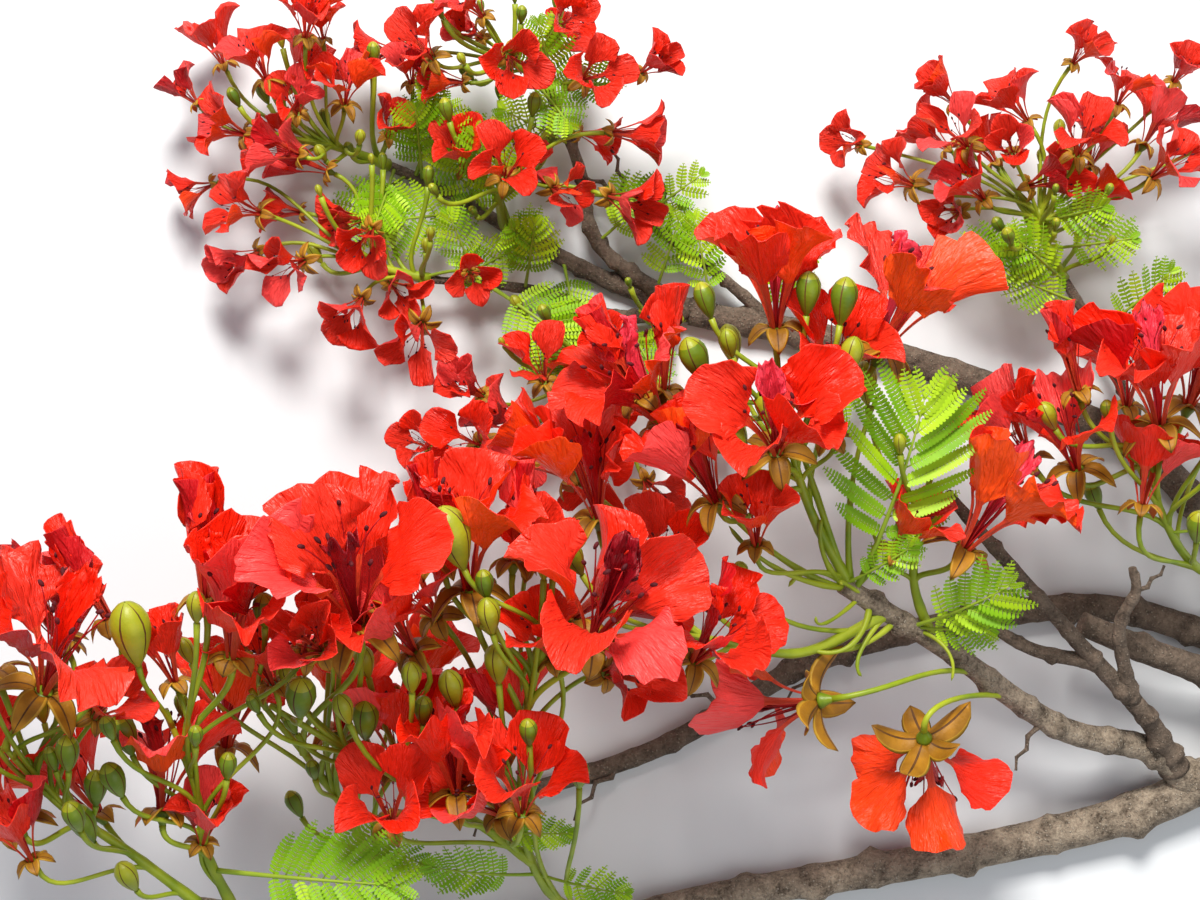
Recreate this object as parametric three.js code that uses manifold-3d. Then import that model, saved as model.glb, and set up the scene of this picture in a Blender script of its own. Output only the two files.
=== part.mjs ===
// A cut flowering limb of a royal poinciana, lying on level ground with its racemes upward.
// Millimetres, +Z up. The origin is the centre of the sawn end, and the limb runs from it along -X.
// A limb, stem or stalk is a bent cylinder. A petal, sepal or stamen is a bent blade with a keel.
import * as THREE from "three";
import { mergeVertices } from "three/addons/utils/BufferGeometryUtils.js";
import Module from "manifold-3d";

const wasm = await Module();
wasm.setup();

// Driving dimensions. A lean is the angle off a bloom's axis, at a blade's root and at its tip.
const SAWN_RADIUS = 14;
const GROUND = -SAWN_RADIUS;
const JOINT_GAP = 0.3;
const CLEARANCE = 0.5;
const STEM_RADII = [2.8, 1.3];
const STEM_SIDES = 4;
const STALK_RADIUS = 1.2;
const STALK_DROP = [0.06, 0.3];
const CUP_RADIUS = 5.4;
const CUP_DEPTH = 5;
const SINK = 0.9;
const PETALS = 5;
const PETAL = { length: 60, half: 18.5, leans: [12, 76], ring: 2.9, keel: 1.2 };
const STANDARD = { length: 60, half: 6.5, leans: [3, 24], ring: 2.9, keel: 6 };
const STAMEN = { length: 42, half: 0.9, leans: [2, 30], ring: 0, keel: 1.6 };
const STAMENS = 1;
const CLAW = { half: 1, keel: 1 };
const CROSSING = 0.5;
const SMALL_PETALS = 4;
const SMALL_OPEN = 0.9;
const BUD_SLIMNESS = 0.28;
const BUD_SINK = 0.4;
const SPRAY_STEPS = 4;

// A leaf: half its pinnae's width and depth, the midrib, where its first pair stands, how the pinnae lean off
// the midrib from first to last, and how far the midrib bows and the pinnae droop beside their lengths.
const PINNA_HALF = 5.5;
const PINNA_SLIMNESS = 0.17;
const PINNA_THICKNESS = 0.6;
const MIDRIB_RADII = [1.4, 0.7];
const FIRST_PAIR = 0.34;
const PINNA_LEANS = [72, 30];
const BOW = 0.14;
const DROOP = 0.12;

// A blade's sections: each is a share of its length, and of its half width.
const PETAL_OUTLINE = [[0, 0], [0.4, 0.22], [0.74, 1], [1, 0.45]];
const STANDARD_OUTLINE = [[0, 0], [0.4, 0.5], [0.75, 1], [1, 0.7]];
const SMALL_OUTLINE = [[0, 0], [0.68, 0.9], [1, 0.25]];
const STAMEN_OUTLINE = [[0, 1], [1, 1]];

// The calyx from its top face to its foot: in each row, the radius and height of a sepal and of a gap.
const CALYX_ROWS = [
  [[4.6, 0], [4, 0]], [[20, -9], [4.2, -0.6]], [[4, -1.7], [3.6, -1.5]], [[0, -7], [0, -7]]];
const STALK_END = 3;
const SEPAL_FOLDS = [1, 0.75, 0.5, 0.25];

// How a petal may be swung and turned, in degrees, to clear what it would touch.
const SWINGS = [[0, 0], [-14, 0], [14, 0], [0, 12], [0, -12], [-28, 0], [-14, 12], [-14, -12], [14, 12],
  [14, -12], [-42, 0]];

// Limbs from root to tip, by a few places on each. A place with no height lies on the ground.
const LIMBS = {
  main_limb: { radii: [SAWN_RADIUS, 3.4], sides: 8, steps: 14, places: [
    [0, 0, 0], [-17, 0, 0], [-34, 0, 0], [-103, -33], [-205, -57], [-317, -77], [-400, -92, 4],
    [-495, -85, 42], [-574, -64, 84]] },
  mid_limb: { on: "main_limb", radii: [7.6, 4.6], sides: 8, steps: 8, places: [
    [-70, -16, 0], [-98, 2, 12], [-148, 16, 34], [-205, 55, 62], [-263, 91, 90]] },
  high_limb: { on: "main_limb", radii: [9.5, 6.4], sides: 8, steps: 9, places: [
    [-24, 0, 0], [-38, 40], [-58, 112], [-108, 163], [-180, 190], [-255, 213], [-333, 228]] },
  high_tip: { on: "high_limb", radii: [5.6, 2.4], sides: 6, steps: 5, places: [
    [-325, 227, -7], [-372, 243], [-417, 266], [-458, 290], [-495, 307]] },
  rear_limb: { on: "high_limb", radii: [7.6, 4], sides: 6, steps: 9, places: [
    [-42, 57, -5], [-119, 74], [-208, 63], [-275, 42], [-350, 0], [-438, -29]] },
  stub_limb: { on: "high_limb", radii: [7.8, 6], sides: 8, steps: 5, places: [
    [-36, 31, -4], [-64, 40, 16], [-100, 53, 25], [-136, 68, 30]] },
  high_fork_up: { on: "high_limb", radii: [4.6, 2.2], sides: 6, steps: 5, places: [
    [-345, 230, -7], [-380, 262, -1], [-391, 303, 8], [-407, 342, 22]] },
  high_fork_left: { on: "high_limb", radii: [4, 1.8], sides: 5, steps: 5, places: [
    [-338, 228, -7], [-372, 226, -3], [-414, 239, 0], [-468, 244, 10]] },
  high_fork_bare: { on: "high_limb", radii: [3.4, 1.4], sides: 5, steps: 5, places: [
    [-289, 221, -7], [-320, 248, 2], [-353, 272, 6], [-370, 289, 8]] },
  right_fork: { on: "high_limb", radii: [3.8, 2.2], sides: 5, steps: 4, places: [
    [-90, 150, -5], [-106, 182, 0], [-122, 213, 8], [-144, 246, 18]] },
  bare_twig_long: { on: "mid_limb", radii: [6, 2.6], sides: 6, steps: 8, places: [
    [-80, -8, 6], [-102, 20, 28], [-135, 53, 48], [-161, 80, 64], [-213, 135, 92]] },
  bare_twig_low: { on: "bare_twig_long", radii: [3.8, 2.6], sides: 5, steps: 4, places: [
    [-132, 51, 46], [-165, 57, 46], [-200, 78, 50]] },
  bare_twig_upright: { on: "bare_twig_long", radii: [3.8, 2], sides: 5, steps: 4, places: [
    [-110, 28, 34], [-122, 66, 54], [-116, 86, 64], [-119, 98, 70]] },
};

// Green flower stems, written as the limbs are. The buds on each have their middle and their length.
const STEMS = {
  centre_stem: { on: "mid_limb", places: [
    [-258, 88, 87], [-278, 123, 104], [-289, 154, 116], [-294, 186, 126]],
    buds: [[[-331, 225, 136], 19], [[-284, 228, 138], 22], [[-336, 197, 148], 25]] },
  centre_left_stem: { on: "mid_limb", places: [
    [-238, 74, 78], [-284, 59, 98], [-325, 66, 112], [-361, 72, 120]],
    buds: [[[-377, 84, 126], 14]] },
  right_near_stem: { on: "mid_limb", places: [[-219, 62, 68], [-229, 96, 90], [-224, 142, 110]],
    buds: [[[-222, 160, 116], 13]] },
  right_stem: { on: "high_limb", places: [[-50, 90, -4], [-80, 98, 34], [-104, 126, 66], [-114, 161, 84]],
    buds: [[[-166, 172, 102], 17]] },
  left_stem_a: { on: "main_limb", places: [
    [-380, -89, 0], [-408, -63, 40], [-418, -20, 84], [-413, 39, 124], [-400, 78, 142]],
    buds: [[[-446, 116, 168], 34], [[-432, 95, 162], 16], [[-401, 105, 160], 18]] },
  left_stem_b: { on: "left_stem_a", places: [
    [-416, -48, 60], [-444, -23, 78], [-494, 9, 104], [-535, 36, 120]],
    buds: [[[-517, 42, 148], 27], [[-466, 52, 152], 18], [[-462, 35, 134], 17]] },
  left_stem_c: { on: "main_limb", places: [
    [-481, -87, 36], [-497, -38, 62], [-515, -3, 80], [-546, 42, 106]],
    buds: [[[-532, 83, 160], 20]] },
  left_stem_d: { on: "main_limb", places: [
    [-562, -68, 78], [-568, -35, 102], [-570, -4, 118], [-581, 36, 136]],
    buds: [[[-590, 73, 170], 35], [[-559, 86, 182], 17]] },
  left_stem_e: { on: "main_limb", places: [
    [-574, -64, 84], [-606, -34, 104], [-634, -11, 118], [-657, 19, 134]],
    buds: [[[-611, 48, 150], 18], [[-625, 16, 142], 21], [[-615, -2, 128], 21], [[-622, -20, 120], 24],
      [[-603, -46, 112], 20]] },
};

// Blooms: the stem each stands on, its calyx, the way it faces, its size beside the usual one,
// how wide it is open, and the angle round its axis at which its standard petal stands. Where a drop is
// stated, its stalk leaves the stem by that share of the stem before the place nearest to the bloom.
const BLOOMS = {
  bloom_crown: { on: "centre_stem", at: [-298, 213, 128], faces: [-0.05, 1, 0.4],
    size: 1, open: 0.62, spin: 270 },
  bloom_crown_right: { on: "centre_stem", at: [-249, 202, 122], faces: [0.4, 1, 0.3],
    size: 1.05, open: 0.8, spin: 20, drop: 0.3 },
  bloom_upper_left: { on: "centre_stem", at: [-350, 168, 118], faces: [-0.5, 0.75, 0.45],
    size: 1, open: 0.9, spin: 200 },
  bloom_centre: { on: "centre_stem", at: [-299, 155, 142], faces: [-0.1, 0.6, 0.85],
    size: 0.95, open: 0.95, spin: 270 },
  bloom_centre_low: { on: "centre_stem", at: [-326, 132, 132], faces: [-0.4, 0.85, 0.4],
    size: 0.9, open: 0.7, spin: 90 },
  bloom_under_right: { on: "mid_limb", at: [-223, 16, 84], faces: [0.1, -0.55, -0.6],
    size: 0.95, open: 1, spin: 300 },
  bloom_under_left: { on: "mid_limb", at: [-275, 36, 98], faces: [-0.8, -0.15, -0.35],
    size: 0.95, open: 0.95, spin: 250 },
  bloom_gap: { on: "centre_left_stem", at: [-381, 124, 112], faces: [-0.1, 0.85, 0.4],
    size: 0.95, open: 0.8, spin: 90 },
  bloom_inner: { on: "centre_left_stem", at: [-336, 58, 130], faces: [0.35, 0.6, 0.6],
    size: 0.85, open: 0.85, spin: 0 },
  bloom_right_tall: { on: "right_stem", at: [-111, 168, 92], faces: [-0.15, 1, 0.35],
    size: 1.05, open: 0.75, spin: 270 },
  bloom_right_near: { on: "right_near_stem", at: [-206, 109, 102], faces: [0.55, 0.85, 0.3],
    size: 1.05, open: 0.7, spin: 270 },
  bloom_right_edge: { on: "right_stem", at: [-89, 178, 60], faces: [0.25, 0.9, 0.3],
    size: 0.95, open: 0.85, spin: 300 },
  bloom_right_back: { on: "right_stem", at: [-148, 147, 80], faces: [-0.3, 0.8, 0.5],
    size: 0.9, open: 0.9, spin: 30 },
  bloom_left_tall: { on: "left_stem_d", at: [-548, 62, 150], faces: [0.1, 0.8, 0.6],
    size: 1.15, open: 0.85, spin: 330 },
  bloom_left_broad: { on: "left_stem_e", at: [-634, 46, 150], faces: [0.35, 0.75, 0.55],
    size: 1.2, open: 0.95, spin: 264, drop: 0.02 },
  bloom_left_edge: { on: "left_stem_e", at: [-662, 52, 128], faces: [-0.35, 0.9, 0.1],
    size: 1.05, open: 0.8, spin: 90 },
  bloom_left_middle: { on: "left_stem_c", at: [-490, 78, 160], faces: [-0.1, 0.7, 0.6],
    size: 1.2, open: 0.95, spin: 100 },
  bloom_left_inner: { on: "left_stem_a", at: [-440, 91, 138], faces: [-0.1, 0.9, 0.35],
    size: 1.1, open: 0.8, spin: 350 },
  bloom_left_right: { on: "left_stem_a", at: [-384, 69, 156], faces: [0.25, 0.6, 0.75],
    size: 1.15, open: 0.95, spin: 290 },
  bloom_left_low: { on: "left_stem_b", at: [-448, -6, 112], faces: [-0.1, 0.8, 0.3],
    size: 0.95, open: 0.7, spin: 200 },
  bloom_left_behind: { on: "left_stem_d", at: [-561, 12, 84], faces: [0.1, 0.9, 0.2],
    size: 0.95, open: 0.8, spin: 60 },
  bloom_left_among: { on: "left_stem_c", at: [-508, 18, 66], faces: [0.15, 0.95, 0.15],
    size: 0.9, open: 0.85, spin: 160 },
  bloom_left_under: { on: "left_stem_d", at: [-586, -14, 116], faces: [0, 0.95, -0.1],
    size: 0.95, open: 0.9, spin: 30 },
  bloom_left_corner: { on: "left_stem_e", at: [-656, -22, 112], faces: [-0.5, 0.65, 0.1],
    size: 1, open: 0.85, spin: 120 },
};

// Sprays of smaller blooms, fused to their twig: each bloom has its calyx, the way it faces and its size.
const SPRAYS = {
  spray_tip: { on: "high_tip", places: [[-492, 306, -8], [-512, 311, 10], [-532, 314, 20]], blooms: [
    [[-560, 316, 30], [-0.8, 0.3, 0.4], 0.8], [[-548, 342, 38], [-0.3, 0.8, 0.5], 0.8],
    [[-509, 330, 36], [0.1, 0.8, 0.6], 0.8]] },
  spray_left: { on: "high_fork_left", places: [[-466, 244, 10], [-486, 248, 16], [-504, 254, 20]], blooms: [
    [[-552, 276, 30], [-0.8, 0.2, 0.5], 0.75], [[-530, 252, 30], [-0.6, -0.3, 0.7], 0.75],
    [[-470, 220, 34], [-0.1, -0.6, 0.75], 0.8]] },
  spray_up: { on: "high_fork_up", places: [[-405, 340, 21], [-420, 350, 30], [-436, 354, 36]], blooms: [
    [[-464, 352, 44], [-0.5, 0.4, 0.7], 0.8], [[-389, 341, 48], [0.5, 0.1, 0.85], 0.75]] },
  spray_side: { on: "high_tip", places: [[-430, 274, -10], [-432, 284, 12], [-430, 292, 26]], blooms: [
    [[-428, 292, 44], [0.1, 0.4, 0.9], 0.85], [[-404, 288, 34], [0.7, -0.3, 0.6], 0.65]] },
  spray_right: { on: "right_fork", places: [[-142, 243, 17], [-154, 262, 26], [-158, 278, 32]], blooms: [
    [[-142, 303, 50], [0.1, 0.7, 0.7], 0.85], [[-196, 308, 44], [-0.5, 0.5, 0.6], 0.8],
    [[-222, 290, 34], [-0.8, 0.3, 0.4], 0.8], [[-104, 292, 46], [0.6, 0.5, 0.6], 0.85],
    [[-122, 328, 48], [0.3, 0.9, 0.4], 0.7]] },
  spray_rear: { on: "high_limb", places: [[-333, 225, -8], [-372, 204, 6], [-408, 170, 30]], blooms: [
    [[-440, 158, 38], [-0.4, 0.2, 0.85], 0.85], [[-408, 190, 42], [-0.1, 0.7, 0.7], 0.8],
    [[-385, 146, 40], [0.1, -0.2, 0.9], 0.8], [[-350, 158, 36], [0.5, 0.1, 0.8], 0.75]] },
};

// Leaves, twice divided: the midrib's tip, the way the leaf's face looks, the length of its longest pinna,
// and its pairs of pinnae. The midrib's root is moved to the nearest place on what it grows from.
const LEAVES = {
  leaf_centre: { on: "mid_limb", root: [-258, 86, 88], tip: [-230, 180, 138],
    faces: [0.2, -0.2, 1], pinna: 46, pairs: 5 },
  leaf_centre_low: { on: "mid_limb", root: [-232, 68, 76], tip: [-186, 92, 112],
    faces: [0, -0.3, 1], pinna: 24, pairs: 4 },
  leaf_left_big: { on: "left_stem_d", root: [-567, -48, 94], tip: [-474, -48, 122],
    faces: [0, 0.1, 1], pinna: 36, pairs: 6 },
  leaf_left_middle: { on: "left_stem_a", root: [-412, -56, 46], tip: [-462, -46, 84],
    faces: [0, -0.2, 1], pinna: 17, pairs: 5 },
  leaf_high_tip: { on: "high_tip", root: [-478, 301, -8], tip: [-458, 330, 30],
    faces: [-0.2, 0.1, 1], pinna: 30, pairs: 4 },
  leaf_high_low: { on: "high_tip", root: [-440, 281, -9], tip: [-500, 272, 18],
    faces: [0.2, 0, 1], pinna: 26, pairs: 5 },
  leaf_high_hanging: { on: "high_fork_left", root: [-440, 239, 3], tip: [-392, 208, 26],
    faces: [0, 0.2, 1], pinna: 32, pairs: 5 },
};

const COLOURS = { bark: 0x7a6a58, stem: 0x8a9a2e, petal: 0xe8301a, leaf: 0x86b52c };
const MATERIALS = Object.fromEntries(Object.entries(COLOURS).map(([name, color]) => [
  name, new THREE.MeshStandardMaterial({ color, roughness: name === "bark" ? 0.9 : 0.55, metalness: 0 })]));

const vector = (numbers) => new THREE.Vector3(...numbers);
const radians = THREE.MathUtils.degToRad;
const mix = THREE.MathUtils.lerp;

// A number from 0 to 1 that is always the same for the same seed.
function chance(seed) {
  const wave = Math.sin(seed * 12.9898) * 43758.5453;
  return wave - Math.floor(wave);
}

// A closed geometry as a solid: its shared vertices are merged and its faces point out.
function solid(geometry) {
  geometry.deleteAttribute("normal");
  geometry.deleteAttribute("uv");
  const merged = mergeVertices(geometry, 1e-3);
  const vertProperties = merged.attributes.position.array;
  const triVerts = [];
  for (let i = 0; i < merged.index.count; i += 3) {
    const [a, b, c] = merged.index.array.slice(i, i + 3);
    if (a !== b && b !== c && c !== a) triVerts.push(a, b, c);
  }
  const close = (corners) => (
    new wasm.Manifold(new wasm.Mesh({ numProp: 3, vertProperties, triVerts: new Uint32Array(corners) })));
  const made = close(triVerts);
  return made.volume() > 0 ? made : close(triVerts.reverse());
}

// Moves each vertex of a geometry to the place that the map gives for it.
function warp(geometry, map) {
  const places = geometry.attributes.position;
  for (let i = 0; i < places.count; i++) {
    const moved = map(places.getX(i), places.getY(i), places.getZ(i));
    places.setXYZ(i, moved.x, moved.y, moved.z);
  }
  return solid(geometry);
}

// The way each spot of a chain heads.
function headingsOf(spots) {
  const last = spots.length - 1;
  return spots.map((_, i) => spots[Math.min(last, i + 1)].clone().sub(spots[Math.max(0, i - 1)]).normalize());
}

// A round tapering tube through some spots: a cylinder whose rings turn as little as they can.
function tube(spots, radii, sides, headings = headingsOf(spots)) {
  const spans = spots.length - 1;
  const across = new THREE.Vector3(0, 0, 1);
  if (Math.abs(headings[0].z) > 0.9) across.set(1, 0, 0);
  const rings = headings.map((heading) => {
    across.addScaledVector(heading, -across.dot(heading)).normalize();
    return { across: across.clone(), beside: heading.clone().cross(across) };
  });
  return warp(new THREE.CylinderGeometry(1, 1, 1, sides, spans), (x, y, z) => {
    const i = Math.round((0.5 - y) * spans);
    return spots[i].clone().addScaledVector(rings[i].across, z * radii[i])
      .addScaledVector(rings[i].beside, x * radii[i]);
  });
}

// The line of a limb or stem, from its root at 0 to its tip at 1. Its root is moved onto its parent's line.
function lineOf({ on, places, radii = STEM_RADII }) {
  const points = places.map(([x, y, z], i) => {
    const radius = mix(radii[0], radii[1], i / (places.length - 1));
    return vector([x, y, z ?? GROUND + radius]);
  });
  if (on) points[0] = lines[on].at(nearestShare(lines[on], points[0]));
  const curve = new THREE.CatmullRomCurve3(points, false, "catmullrom", 0.5);
  const radiusAt = (share) => mix(radii[0], radii[1], share);
  const at = (share) => {
    const spot = curve.getPoint(share);
    return spot.setZ(Math.max(spot.z, GROUND + radiusAt(share)));
  };
  return { at, radiusAt, toward: (share) => curve.getTangent(share) };
}

// The share of a line that lies nearest to a spot.
function nearestShare(line, spot, parts = 40) {
  let best = 0;
  for (let i = 1; i <= parts; i++) {
    if (line.at(i / parts).distanceTo(spot) < line.at(best).distanceTo(spot)) best = i / parts;
  }
  return best;
}

// The tube of a line, grown outwards by extra.
function tubeOf(line, sides, steps, extra = 0) {
  const shares = Array.from({ length: steps + 1 }, (_, i) => i / steps);
  const radii = shares.map((share) => line.radiusAt(share) + extra);
  return tube(shares.map(line.at), radii, sides, shares.map(line.toward));
}

// The largest piece that is left of a solid once it is cut clear of what it grows from.
function cutClear(piece, parents) {
  const left = parents.reduce((rest, parent) => rest.subtract(parent), piece);
  return left.decompose().reduce((a, b) => (b.volume() > a.volume() ? b : a));
}

const lines = {};
const grown = {};
const standing = [];

// The first standing solid that a piece comes too near to, other than those named, or "the ground", or null.
function meets(piece, ...own) {
  const box = piece.boundingBox();
  if (box.min[2] < GROUND + 1) return "the ground";
  const boxesMeet = (other) => [0, 1, 2].every((i) => (
    box.min[i] - CLEARANCE < other.max[i] && other.min[i] - CLEARANCE < box.max[i]));
  const near = standing.find(({ name, body, bounds }) => (
    !own.includes(name) && boxesMeet(bounds) && body.minGap(piece, 2 * CLEARANCE) < CLEARANCE));
  return near ? near.name : null;
}

// A bloom's axis, and two directions square to it.
function facing(faces) {
  const axis = vector(faces).normalize();
  const guide = Math.abs(axis.z) > 0.9 ? new THREE.Vector3(1, 0, 0) : new THREE.Vector3(0, 0, 1);
  const first = guide.cross(axis).normalize();
  return { axis, first, second: axis.clone().cross(first) };
}

// A blade whose line is an arc that leaves the calyx at one lean off the bloom's axis and ends at another.
// Its face is flat, it has a keel behind, and it turns about its line by the twist. Its sides are split into
// triangles along the diagonals that bulge outwards, so that a turned blade's face never dips through its keel.
function blade(bloom, azimuth, { length, half, leans, ring, keel }, outline, twist = 0) {
  const { axis, first, second } = bloom.frame;
  const away = first.clone().multiplyScalar(Math.cos(azimuth)).addScaledVector(second, Math.sin(azimuth));
  const side = axis.clone().cross(away);
  const [lean0, lean1] = leans.map(radians);
  const bend = (length * bloom.size) / (lean1 - lean0);
  const spans = outline.length - 1;
  const hand = twist < 0 ? -1 : 1;
  return warp(new THREE.CylinderGeometry(1, 1, 1, 3, spans), (x, y) => {
    const [share, width] = outline[Math.round((0.5 - y) * spans)];
    const lean = mix(lean0, lean1, share);
    const out = ring * bloom.size + bend * (Math.cos(lean0) - Math.cos(lean));
    const rise = bend * (Math.sin(lean) - Math.sin(lean0)) - SINK;
    const inward = away.clone().multiplyScalar(-Math.cos(lean)).addScaledVector(axis, Math.sin(lean));
    const turn = twist * share;
    const across = side.clone().multiplyScalar(Math.cos(turn)).addScaledVector(inward, Math.sin(turn));
    const through = inward.multiplyScalar(Math.cos(turn)).addScaledVector(side, -Math.sin(turn));
    const wide = (share < 1 ? Math.max(Math.min(half, CLAW.half), width * half) : width * half) * bloom.size;
    const depth = Math.min(wide, share > 0 ? keel : CLAW.keel);
    return bloom.calyx.clone().addScaledVector(away, out).addScaledVector(axis, rise)
      .addScaledVector(across, Math.sign(Math.round(x * 2)) * hand * wide)
      .addScaledVector(through, Math.abs(x) < 0.5 ? -depth : 0);
  });
}

// The calyx of a bloom: a cup with five reflexed sepals that taper to points. A fold draws their points in.
function calyxCup(bloom, fold) {
  const { axis, first, second } = bloom.frame;
  const spans = CALYX_ROWS.length - 1;
  return warp(new THREE.CylinderGeometry(1, 1, 1, PETALS * 2, spans), (x, y, z) => {
    const corner = Math.round((Math.atan2(x, z) * PETALS) / Math.PI);
    const row = Math.round((0.5 - y) * spans);
    const [radius, height] = CALYX_ROWS[row][Math.abs(corner) % 2];
    const drawn = row === 1 && corner % 2 === 0 ? Math.max(fold, CALYX_ROWS[0][0][0] / radius) : 1;
    const azimuth = radians(bloom.spin) + ((corner + 1) * Math.PI) / PETALS;
    const out = Math.hypot(x, z) * radius * drawn * bloom.size;
    return bloom.calyx.clone().addScaledVector(axis, height * drawn * bloom.size)
      .addScaledVector(first, out * Math.cos(azimuth)).addScaledVector(second, out * Math.sin(azimuth));
  });
}

// The petals of a bloom. The first is the standard, narrow and nearly upright, which a small bloom lacks.
function petalsOf(bloom) {
  const count = bloom.small ? SMALL_PETALS : PETALS;
  return Array.from({ length: count }, (_, i) => {
    const seed = bloom.seed * 7 + i;
    const azimuth = radians(bloom.spin) + (i * 2 * Math.PI) / count + (chance(seed) - 0.5) * 0.3;
    if (i === 0 && !bloom.small) return { azimuth, form: STANDARD, outline: STANDARD_OUTLINE, twist: 0 };
    const leans = [PETAL.leans[0], mix(...PETAL.leans, bloom.open)];
    const form = { ...PETAL, leans, length: PETAL.length * mix(0.92, 1.08, chance(seed + 0.3)) };
    const twist = bloom.small ? 0 : (chance(seed + 0.6) - 0.5) * 1.2;
    return { azimuth, form, outline: bloom.small ? SMALL_OUTLINE : PETAL_OUTLINE, twist };
  });
}

// A petal in the first of its swings in which it clears everything and crosses no petal of its own bloom.
// Where there is none it may cross those, and where it would still touch something else it is null.
function freePetal(name, bloom, { azimuth, form, outline, twist }, placed) {
  const clear = SWINGS.map(([swing, turn]) => {
    const leans = [form.leans[0] + swing * 0.25, Math.max(form.leans[0] + 8, form.leans[1] + swing)];
    return blade(bloom, azimuth + radians(turn), { ...form, leans }, outline, twist);
  }).filter((made) => !meets(made, name));
  const crosses = (made) => placed.some((petal) => petal.intersect(made).volume() > CROSSING);
  return clear.find((made) => !crosses(made)) ?? clear[0] ?? null;
}

// The stalk of a bloom or bud, from its stem to its cup.
function stalk(stem, root, foot, axis, cup, sides) {
  const start = stem.at(root);
  const reach = start.distanceTo(foot);
  const toward = foot.clone().sub(start).addScaledVector(stem.toward(root), reach);
  const curve = new THREE.CubicBezierCurve3(start, start.clone().addScaledVector(toward, 0.2),
    foot.clone().addScaledVector(axis, -reach * 0.4), foot);
  const shares = cup ? [0, 1 - CUP_DEPTH / (reach + CUP_DEPTH), 1] : [0, 0.5, 1];
  const radii = [STALK_RADIUS, STALK_RADIUS, cup || STALK_RADIUS];
  return tube(shares.map((share) => curve.getPoint(share)), radii, sides);
}

// Where a stalk leaves its stem: a share of the stem before the nearest place to what it carries.
function stalkRoot(stem, spot, seed, drop = mix(...STALK_DROP, chance(seed + 0.8))) {
  return Math.max(0.05, nearestShare(stem, spot) - drop);
}

// A bloom on its stalk. What would touch another solid is left off.
function bloomSolid(name, spec, parents) {
  const bloom = { ...spec, calyx: vector(spec.at), frame: facing(spec.faces) };
  const stem = lines[spec.on];
  const root = stalkRoot(stem, bloom.calyx, spec.seed, spec.drop);
  const end = bloom.calyx.clone().addScaledVector(bloom.frame.axis, spec.small ? 0 : -STALK_END * spec.size);
  const cup = spec.small ? CUP_RADIUS * spec.size : 0;
  const foot = stalk(stem, root, end, bloom.frame.axis, cup, spec.small ? 4 : 3);
  const petals = [];
  for (const petal of petalsOf(bloom)) {
    const made = freePetal(name, bloom, petal, petals);
    if (made) petals.push(made);
  }
  const pieces = [cutClear(foot, parents.map((parent) => grown[parent])), ...petals];
  if (!spec.small) {
    const stamens = Array.from({ length: STAMENS }, (_, i) => (
      blade(bloom, radians(spec.spin + 60) + (i * 2 * Math.PI) / STAMENS, STAMEN, STAMEN_OUTLINE)));
    const folds = SEPAL_FOLDS.map((fold) => calyxCup(bloom, fold));
    const calyx = folds.find((cup) => !meets(cup, name)) ?? folds.at(-1);
    pieces.push(calyx, ...stamens.filter((piece) => !meets(piece, name)));
  }
  return wasm.Manifold.union(pieces);
}

// A bud on its stalk: a slim egg that points up and away from its stem.
function budPieces(stem, middle, length, seed) {
  const root = stalkRoot(stem, middle, seed);
  const axis = middle.clone().sub(stem.at(root)).normalize().multiplyScalar(0.6)
    .add(new THREE.Vector3(0, 0.7, 0.25)).normalize();
  const { first, second } = facing(axis.toArray());
  const egg = warp(new THREE.SphereGeometry(1, 5, 3), (x, y, z) => middle.clone()
    .addScaledVector(axis, (y * length) / 2)
    .addScaledVector(first, x * length * BUD_SLIMNESS)
    .addScaledVector(second, z * length * BUD_SLIMNESS));
  const foot = middle.clone().addScaledVector(axis, -length * BUD_SINK);
  return [egg, stalk(stem, root, foot, axis, 0, 3)];
}

// A leaf: a bowed midrib with pairs of pinnae, each a thin blade whose root is sunk in the midrib.
function leafSolid(name, spec) {
  const parent = lines[spec.on];
  const root = parent.at(nearestShare(parent, vector(spec.root)));
  const tip = vector(spec.tip);
  const face = vector(spec.faces).normalize();
  const bow = root.clone().lerp(tip, 0.5).addScaledVector(face, root.distanceTo(tip) * BOW);
  const rib = new THREE.QuadraticBezierCurve3(root, bow, tip);
  const pairAt = (pair) => mix(FIRST_PAIR, 1, pair / (spec.pairs - 1));
  const shares = [0, ...Array.from({ length: spec.pairs }, (_, pair) => pairAt(pair))];
  const ribRadii = shares.map((share) => mix(...MIDRIB_RADII, share));
  const pieces = [cutClear(tube(shares.map((share) => rib.getPoint(share)), ribRadii, 3), [grown[spec.on]])];
  for (let pair = 0; pair < spec.pairs; pair++) {
    const row = pair / (spec.pairs - 1);
    const heading = rib.getTangent(shares[pair + 1]);
    const start = rib.getPoint(shares[pair + 1]).addScaledVector(heading, -MIDRIB_RADII[1]);
    const side = heading.clone().cross(face).normalize();
    const lean = radians(mix(...PINNA_LEANS, row));
    const length = spec.pinna * (1 - 0.45 * (2 * row - 0.8) ** 2);
    for (const hand of [-1, 1]) {
      const away = heading.clone().multiplyScalar(Math.cos(lean));
      away.addScaledVector(side, hand * Math.sin(lean));
      const across = away.clone().cross(face).normalize();
      const through = across.clone().cross(away);
      const pinna = warp(new THREE.OctahedronGeometry(1, 0), (x, y, z) => {
        const along = (y + 1) / 2;
        return start.clone().addScaledVector(away, length * (y === 0 ? 0.45 : along))
          .addScaledVector(across, x * Math.min(PINNA_HALF, length * PINNA_SLIMNESS))
          .addScaledVector(through, z * PINNA_THICKNESS - along * along * length * DROOP);
      });
      if (!meets(pinna, name)) pieces.push(pinna);
    }
  }
  return cutClear(wasm.Manifold.union(pieces), []);
}

const limb = new THREE.Group();

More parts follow.
